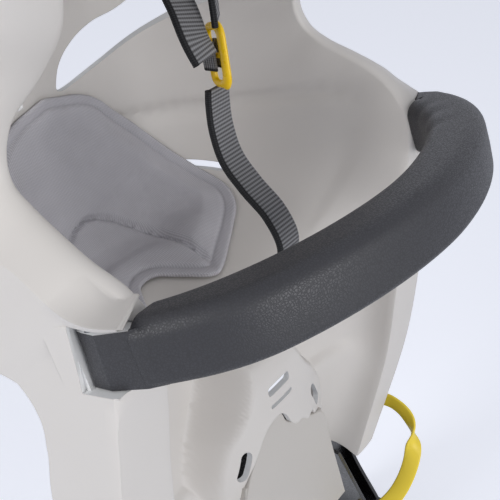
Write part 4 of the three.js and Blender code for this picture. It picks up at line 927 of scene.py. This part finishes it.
def sweep(name, centre, aims, section, u, material, body="seat"):
    # A closed section carried along points, its first axis turned to the aims; u goes round the section and v along
    # the points in metres. Gives the piece and the directions of both axes.
    run = unit(np.gradient(centre, axis=0))
    across = unit(aims - (aims * run).sum(1, keepdims=True) * run)
    facing = np.cross(run, across)
    rings = centre[:, None] + across[:, None] * section[None, :, :1] + facing[:, None] * section[None, :, 1:]
    uv = np.stack(np.broadcast_arrays(u[None], reachAlong(centre)[:, None] / 1000), -1)
    return loftRings(name, rings, material, body, uv), across


def stripPiece(name, route, widthAims, width, thickness, material, body="seat", steps=90, bulge=0.0):
    # A flat closed strip along a smooth route. Across it is a box with half-round edges, turned so that its width
    # follows the aims; u runs from 0 to 1 across.
    share = np.linspace(0, 1, steps)
    aims = throughPoints(widthAims, share) if len(widthAims) > 1 else np.repeat(np.asarray(widthAims, float), steps, 0)
    turns = np.linspace(-math.pi / 2, math.pi / 2, 7)
    r = thickness / 2
    flat = width / 2 - r
    fill = np.linspace(flat, -flat, 8)[1:-1]
    side = np.concatenate([np.stack([flat + r * np.cos(turns), r * np.sin(turns)], 1),
                           np.stack([fill, r + bulge * (1 - (fill / flat) ** 2)], 1)])
    section = np.concatenate([side, -side])
    centre = throughPoints(route, share)
    piece, across = sweep(name, centre, aims, section, section[:, 0] / width + 0.5, material, body)
    return sharpen(piece, 50), centre, across


def cordPiece(name, centre, radius, material, aims):
    # A round cord along points, u round it
    turns = np.linspace(0, 2 * math.pi, 12, endpoint=False)
    section = radius * np.stack([np.cos(turns), np.sin(turns)], 1)
    return sweep(name, centre, aims, section, turns / (2 * math.pi), material)[0]


def beadedStrap(strapName, beadName, node, route, aims, width, steps):
    # Webbing with a braided cord along its left edge
    strap, centre, across = stripPiece(strapName, route, aims, width, webbing["thickness"], strapWeave, steps=steps)
    standFor(strap, node)
    bead = cordPiece(beadName, centre - across * (width / 2 - 0.4), webbing["beadRadius"], braidBlack, across)


webbing = {
    "crotch": [[0, 40, -113.9], [0, 39.5, -98], [0, 22, -72], [0, 3, -45], [0, -4, -20], [0, 6, -2], [0, 24, 12],
               [0, 38, 26], [0, 45, 44], [0, 47, 60], [0, 47, 69.6]],
    "loop": [[3, 49, 106.6], [2, 50, 120], [1, 52, 136], [0, 54, 150], [0, 56, 157.2], [0, 60.6, 158.8],
             [0, 68.1, 156.1], [0, 75.6, 153.4], [0, 80, 148], [-3, 78, 140], [-8, 70, 126], [-13, 58, 114],
             [-17, 48, 102], [-16, 42, 92]],
    "loopAims": [[0.8, 0.5, 0.1]] * 3 + [[1, 0, 0]] * 11,
    "width": 20.0, "thickness": 1.6, "beadRadius": 1.9,
}
beadedStrap("crotchStrap", "crotchBead", "crotch_strap", webbing["crotch"], [[1, 0, 0]], webbing["width"], 120)
beadedStrap("strapLoop", "loopBead", "strap_loop", webbing["loop"], webbing["loopAims"], webbing["width"], 140)
print("crotch webbing made")

sliderForm = {
    "place": [0, 47, 88], "up": [0.1, 0.25, 0.96], "facing": [-0.85, 0.46, 0.28], "halfHigh": 16.2, "halfWide": 8.0,
    "corner": 5.0, "rail": 4.6, "thick": 4.0, "broad": 1.75, "barHalf": 1.6, "steps": 96, "turnRadius": 4.4,
}


def sliderPiece():
    # A ring of elliptic section round a rounded rectangle, broader on its left rail, with a round bar across it
    s = sliderForm
    place = np.array(s["place"], float)
    up = unit(np.array(s["up"], float))
    facing = np.array(s["facing"], float)
    facing = unit(facing - (facing * up).sum() * up)
    side = np.cross(up, facing)
    side = side * np.sign(-side[0])  # towards the child's right
    outline = roundedRect(s["halfWide"], s["halfHigh"], s["corner"])
    outline = evenPoints(np.vstack([outline, outline[:1]]), s["steps"] + 1)[:-1]
    broad = 1 + (s["broad"] - 1) * smoothStep((outline[:, :1] - 2) / 4)
    turns = np.linspace(0, 2 * math.pi, 18, endpoint=False)
    flat = outline[:, None] - inwards(outline)[:, None] * (np.cos(turns) * s["rail"] / 2 * broad)[..., None]
    rings = place + flat[..., :1] * side + flat[..., 1:] * up + facing * (np.sin(turns) * s["thick"] / 2)[:, None]
    piece = makeMesh("slider", rings, gridFaces(s["steps"], 18, closedAcross=True, closedDown=True), yellowAcetal)
    across = np.linspace(-s["halfWide"], s["halfWide"], 8)[:, None]
    rod = cordPiece("sliderBar", place + across * side, s["barHalf"], yellowAcetal, np.repeat(up[None], 8, 0))
    boolean(piece, [rod], "UNION")
    standFor(sharpen(piece, 50), "strap_slider")
    # the webbing's turn over the slider's right rail
    hook = place - side * s["halfWide"]
    turns = np.linspace(-1.9, 1.9, 26)[:, None]
    route = hook + s["turnRadius"] * (facing * np.sin(turns) - side * np.cos(turns))
    route = np.vstack([route[0] + side * 9 + facing * 0.6, route, route[-1] + side * 10 - facing * 0.6])
    stripPiece("sliderTurn", route, [up], 17.0, webbing["thickness"], strapWeave, steps=60)[0]


sliderPiece()
print("slider made")

panelForm = {"face": -1.0, "lean": 0.115, "level": -157.0, "gap": 0.6, "wall": 4.0, "flange": 12.0, "rim": 3.5}


def panelPiece():
    # The front panel: the scalloped outline run back from a face that leans forward by 0.115 for each millimetre down
    p = panelForm
    lean = lambda a, b, level: np.stack([a, p["face"] + p["lean"] * (b - p["level"]) + level, b], -1)
    piece = outlineSolid(windowOutline(p["gap"]), 0, p["wall"], lean, 0.9, "frontPanel", panelPlastic, "seat")
    flange = np.array([[48, -194], [72, -298.4], [72 - p["rim"], -298.4], [48 - p["rim"], -194]])
    boolean(piece, [outlineSolid(v, 1, p["flange"], lean) for v in bothSides(flange)], "UNION")
    standFor(sharpen(piece, 38), "pommel_panel")


panelPiece()

shoulder = {
    "strap": [[13.2, 80, 215], [13.2, 82.5, 212], [13.2, 87, 210.3], [13.2, 92, 208.6], [13.2, 100, 211],
              [25.1, 120, 222.4], [31.2, 168, 228], [36.1, 204, 216.6], [38, 224, 209.2], [38, 230.4, 208.4],
              [38, 236.1, 207.8]],
    "width": 19.0, "padFrom": 0.545, "padTo": 0.755, "padHalfWide": 21.6, "edgeHigh": 2.2,
    "crown": 4.9, "seam": 4.2, "rows": 44, "columns": 40, "voxel": 3.0, "pressure": 3.0, "frames": 14, "cap": 1.1,
}


def shoulderPad(name, side, swell):
    # A pillow on a grid round the strap: its outline is a superellipse, and from a bound edge the foam rises inside
    # the seam as 1 - (1 - d)^2; swell is the cloth run's movement at each point, or None to find it
    p = shoulder
    centre = throughPoints(np.array(p["strap"]) * [side, 1, 1], np.linspace(0, 1, 400))
    s = (1 - np.cos(np.linspace(0, math.pi, p["rows"]))) / 2
    at = reachAlong(centre)[-1] * (p["padFrom"] + (p["padTo"] - p["padFrom"]) * s)
    line = atReach(centre, at)
    run = unit(np.gradient(line, axis=0))
    aside = unit(np.array([1.0, 0, 0]) - run[:, :1] * run)
    facing = np.cross(aside, run)
    facing = (facing * np.sign(facing[:, 2:]))[:, None]
    wide = p["padHalfWide"] * (1 - 0.3 * np.abs(2 * s - 1) ** 5)[:, None]
    x = wide * np.sin(np.linspace(-math.pi / 2, math.pi / 2, p["columns"]))
    inEdge = np.minimum(wide - np.abs(x), (np.minimum(s, 1 - s) * (at[-1] - at[0]))[:, None])
    edge = p["edgeHigh"] * np.sqrt(1 - (1 - np.minimum(inEdge / 1.2, 1)) ** 2)
    deep = np.clip((inEdge - p["seam"]) / 9, 0, 1)
    foam = (p["crown"] - p["edgeHigh"]) * (1 - (1 - deep) ** 2)
    uv = np.stack(np.broadcast_arrays(x, at[:, None]), -1) / 1000
    base = line[:, None] + aside[:, None] * x[..., None]

    def build(height):
        rise = facing * height[..., None]
        return thickSheet(name, base + rise, base - rise, padKnit, "seat", uv)

    if swell is None:
        top = base + facing * (edge + foam)[..., None]
        moved = nearestMean(top.reshape(-1, 3), *clothSwell(build(edge + foam * 0.8), p)).reshape(top.shape)
        swell = np.clip((moved * facing).sum(-1), 0, p["cap"]) * smoothStep((inEdge - p["seam"]) / 6)
    piece = build(edge + foam * 0.8 + swell - 0.7 * bump(inEdge - p["seam"], 1.3))
    standFor(piece, "shoulder_pad_" + name[11:].lower())
    return swell


swell = None
for name, side in (("Left", 1), ("Right", -1)):
    beadedStrap("shoulderStrap" + name, "shoulderBead" + name, "shoulder_strap_" + name.lower(),
                np.array(shoulder["strap"]) * [side, 1, 1], [[1, 0, 0]], shoulder["width"], 110)
    swell = shoulderPad("shoulderPad" + name, side, swell)
print("shoulder straps and pads made")

footrest = {
    # across and up in millimetres, from the top down; fronts are how far forward each wall reaches there
    "inner": [[74, -264], [86, -298], [100, -340], [105, -399]], "innerFront": [-7, -14, -24, -62],
    "outer": [[147, -256], [152, -300], [156, -340], [160, -399]], "outerFront": [24, 24, 24, -10],
    "blade": [[50, -200], [76, -200], [100, -267], [147, -256]], "back": 31.8, "wall": 3.5, "sole": [-399, -395.5],
    "toe": -62.0,
}


def footrestPiece(name, side):
    # A plate that slides in the guide, two flanges that stand forward from it and a sole, joined
    f = footrest

    def flange(edge, fronts, inwards):
        line = evenPoints(np.column_stack([edge, fronts]).astype(float), 40)
        back = np.full(len(line), f["back"])
        ends = [np.stack([line[:, 0], y, line[:, 1]], -1)[:, None] for y in (line[:, 2], back)]
        sheet = (ends[0] + (ends[1] - ends[0]) * np.linspace(0, 1, 16)[None, :, None]) * [side, 1, 1]
        return thickSheet("flange", sheet, sheet + [side * inwards * f["wall"], 0, 0], blankMaterial, None)

    plate = bothSides(f["blade"] + f["outer"][1:] + f["inner"][::-1])[0 if side > 0 else 1]
    piece = outlineSolid(plate, f["back"] - f["wall"], f["back"], places["y"], 0, "footrest" + name, blackAbs,
                         "foot_" + name.lower())
    low, high = sorted((side * f["inner"][3][0], side * f["outer"][3][0]))
    sole = outlineSolid(rectangle(low, high, f["toe"], f["back"]), *f["sole"], places["z"], 0.8)
    boolean(piece, [flange(f["inner"], f["innerFront"], 1), flange(f["outer"], f["outerFront"], -1), sole], "UNION")
    standFor(sharpen(piece, 38), "footrest_" + name.lower())


for name, side in (("Left", 1), ("Right", -1)):
    footrestPiece(name, side)

footStrap = {
    "route": [[149, 27, -270], [150, 3, -264], [151, -16, -262], [146, -35, -268], [132, -47, -290], [114, -45, -322],
              [102, -33, -341], [98, -17, -346]],
    "aims": [[0, -0.1, 1], [0, -0.1, 1], [0, 0.2, 1], [0.3, 0.4, 1], [0.5, 0.5, 1], [0.5, 0.4, 1], [0.3, 0.2, 1],
             [0.1, 0, 1]],
    "width": 14.0, "thickness": 2.4,
}
for name, side in (("Left", 1), ("Right", -1)):
    route, aims = (np.array(footStrap[key], float) * [side, 1, 1] for key in ("route", "aims"))
    piece, _, _ = stripPiece("footStrap" + name, route, aims, footStrap["width"], footStrap["thickness"], yellowSoft,
                             "foot_" + name.lower(), steps=80, bulge=0.5)
    standFor(piece, "foot_strap_" + name.lower())
print("panel and foot straps made")

view = {"azimuth": 54.0, "elevation": 34.06, "roll": -0.45, "place": (-379.6, -250.4, 281.0), "lens": 64.8}
cameraData = bpy.data.cameras.new("camera")
cameraData.sensor_width = 36.0
cameraData.lens = view["lens"]
cameraData.clip_start = 0.01
scene.camera = bpy.data.objects.new("camera", cameraData)
scene.collection.objects.link(scene.camera)
a, e, roll = (math.radians(view[k]) for k in ("azimuth", "elevation", "roll"))
right = Vector((math.cos(a), -math.sin(a), 0))
up = Vector((math.sin(a) * math.sin(e), math.cos(a) * math.sin(e), math.cos(e)))
ahead = Vector((math.sin(a) * math.cos(e), math.cos(a) * math.cos(e), -math.sin(e)))
turned = Matrix((right, up, -ahead)).transposed() @ Matrix.Rotation(roll, 3, "Z")
scene.camera.matrix_world = Matrix.Translation((np.array(view["place"]) + originShift) / 1000) @ turned.to_4x4()

studio = {
    "floorLow": -0.12, "floorHalf": 6.0, "floorHex": "#dfe2ea", "paperHex": "#eceef7", "paperGlow": 0.5,
    "worldHex": "#eef1f8", "world": 0.4,
    # place of each lamp, its power in watts and its width, all aimed at the seat's middle
    "lamps": [[(-1.55, 0.4, 0.95), 12.0, 0.7], [(-0.35, -1.6, 0.8), 13.0, 0.9]],
}


def seenDirectly(tree):
    # 1 where the camera, a gloss or clear plastic looks at it, 0 for light on the object
    path = addNode(tree, "ShaderNodeLightPath")
    seen = path.outputs["Is Camera Ray"]
    for ray in ("Is Glossy Ray", "Is Transmission Ray"):
        seen = addNode(tree, "ShaderNodeMath", {0: seen, 1: path.outputs[ray]}, operation="MAXIMUM").outputs[0]
    return seen


def makeStudio():
    st = studio
    mesh = bpy.data.meshes.new("floor")
    h = st["floorHalf"]
    mesh.from_pydata([(x, y, st["floorLow"]) for x, y in ((-h, -h), (h, -h), (h, h), (-h, h))], [], [(0, 1, 2, 3)])
    floor = bpy.data.objects.new("floor", mesh)
    scene.collection.objects.link(floor)
    # Paper: matt and pale, with a part of its own brightness where it is looked at, so that it stays near white
    material, tree, shader = newMaterial("pale paper")
    glow = addNode(tree, "ShaderNodeMath", {0: seenDirectly(tree), 1: st["paperGlow"]}, operation="MULTIPLY")
    connect(tree, shader, {"Base Color": linearColour(st["floorHex"]), "Roughness": 0.95, "Specular IOR Level": 0.1,
                           "Emission Color": linearColour(st["paperHex"]), "Emission Strength": glow.outputs[0]})
    mesh.materials.append(material)
    scene.world = bpy.data.worlds.new("studio")
    scene.world.use_nodes = True
    tree = scene.world.node_tree
    tree.nodes.clear()
    lit, seen = (addNode(tree, "ShaderNodeBackground", {"Color": linearColour(st[key]), "Strength": strength})
                 for key, strength in (("worldHex", st["world"]), ("paperHex", 1.0)))
    mixed = addNode(tree, "ShaderNodeMixShader", {0: seenDirectly(tree), 1: lit.outputs[0], 2: seen.outputs[0]})
    addNode(tree, "ShaderNodeOutputWorld", {"Surface": mixed.outputs[0]})
    for number, (place, power, width) in enumerate(st["lamps"]):
        lamp = bpy.data.lights.new("lamp%d" % number, "AREA")
        lamp.energy = power
        lamp.size = width
        holder = bpy.data.objects.new(lamp.name, lamp)
        holder.location = place
        holder.rotation_euler = (Vector((0, 0, 0.3)) - holder.location).to_track_quat("-Z", "Y").to_euler()
        scene.collection.objects.link(holder)


makeStudio()
scene.view_settings.view_transform = "Standard"
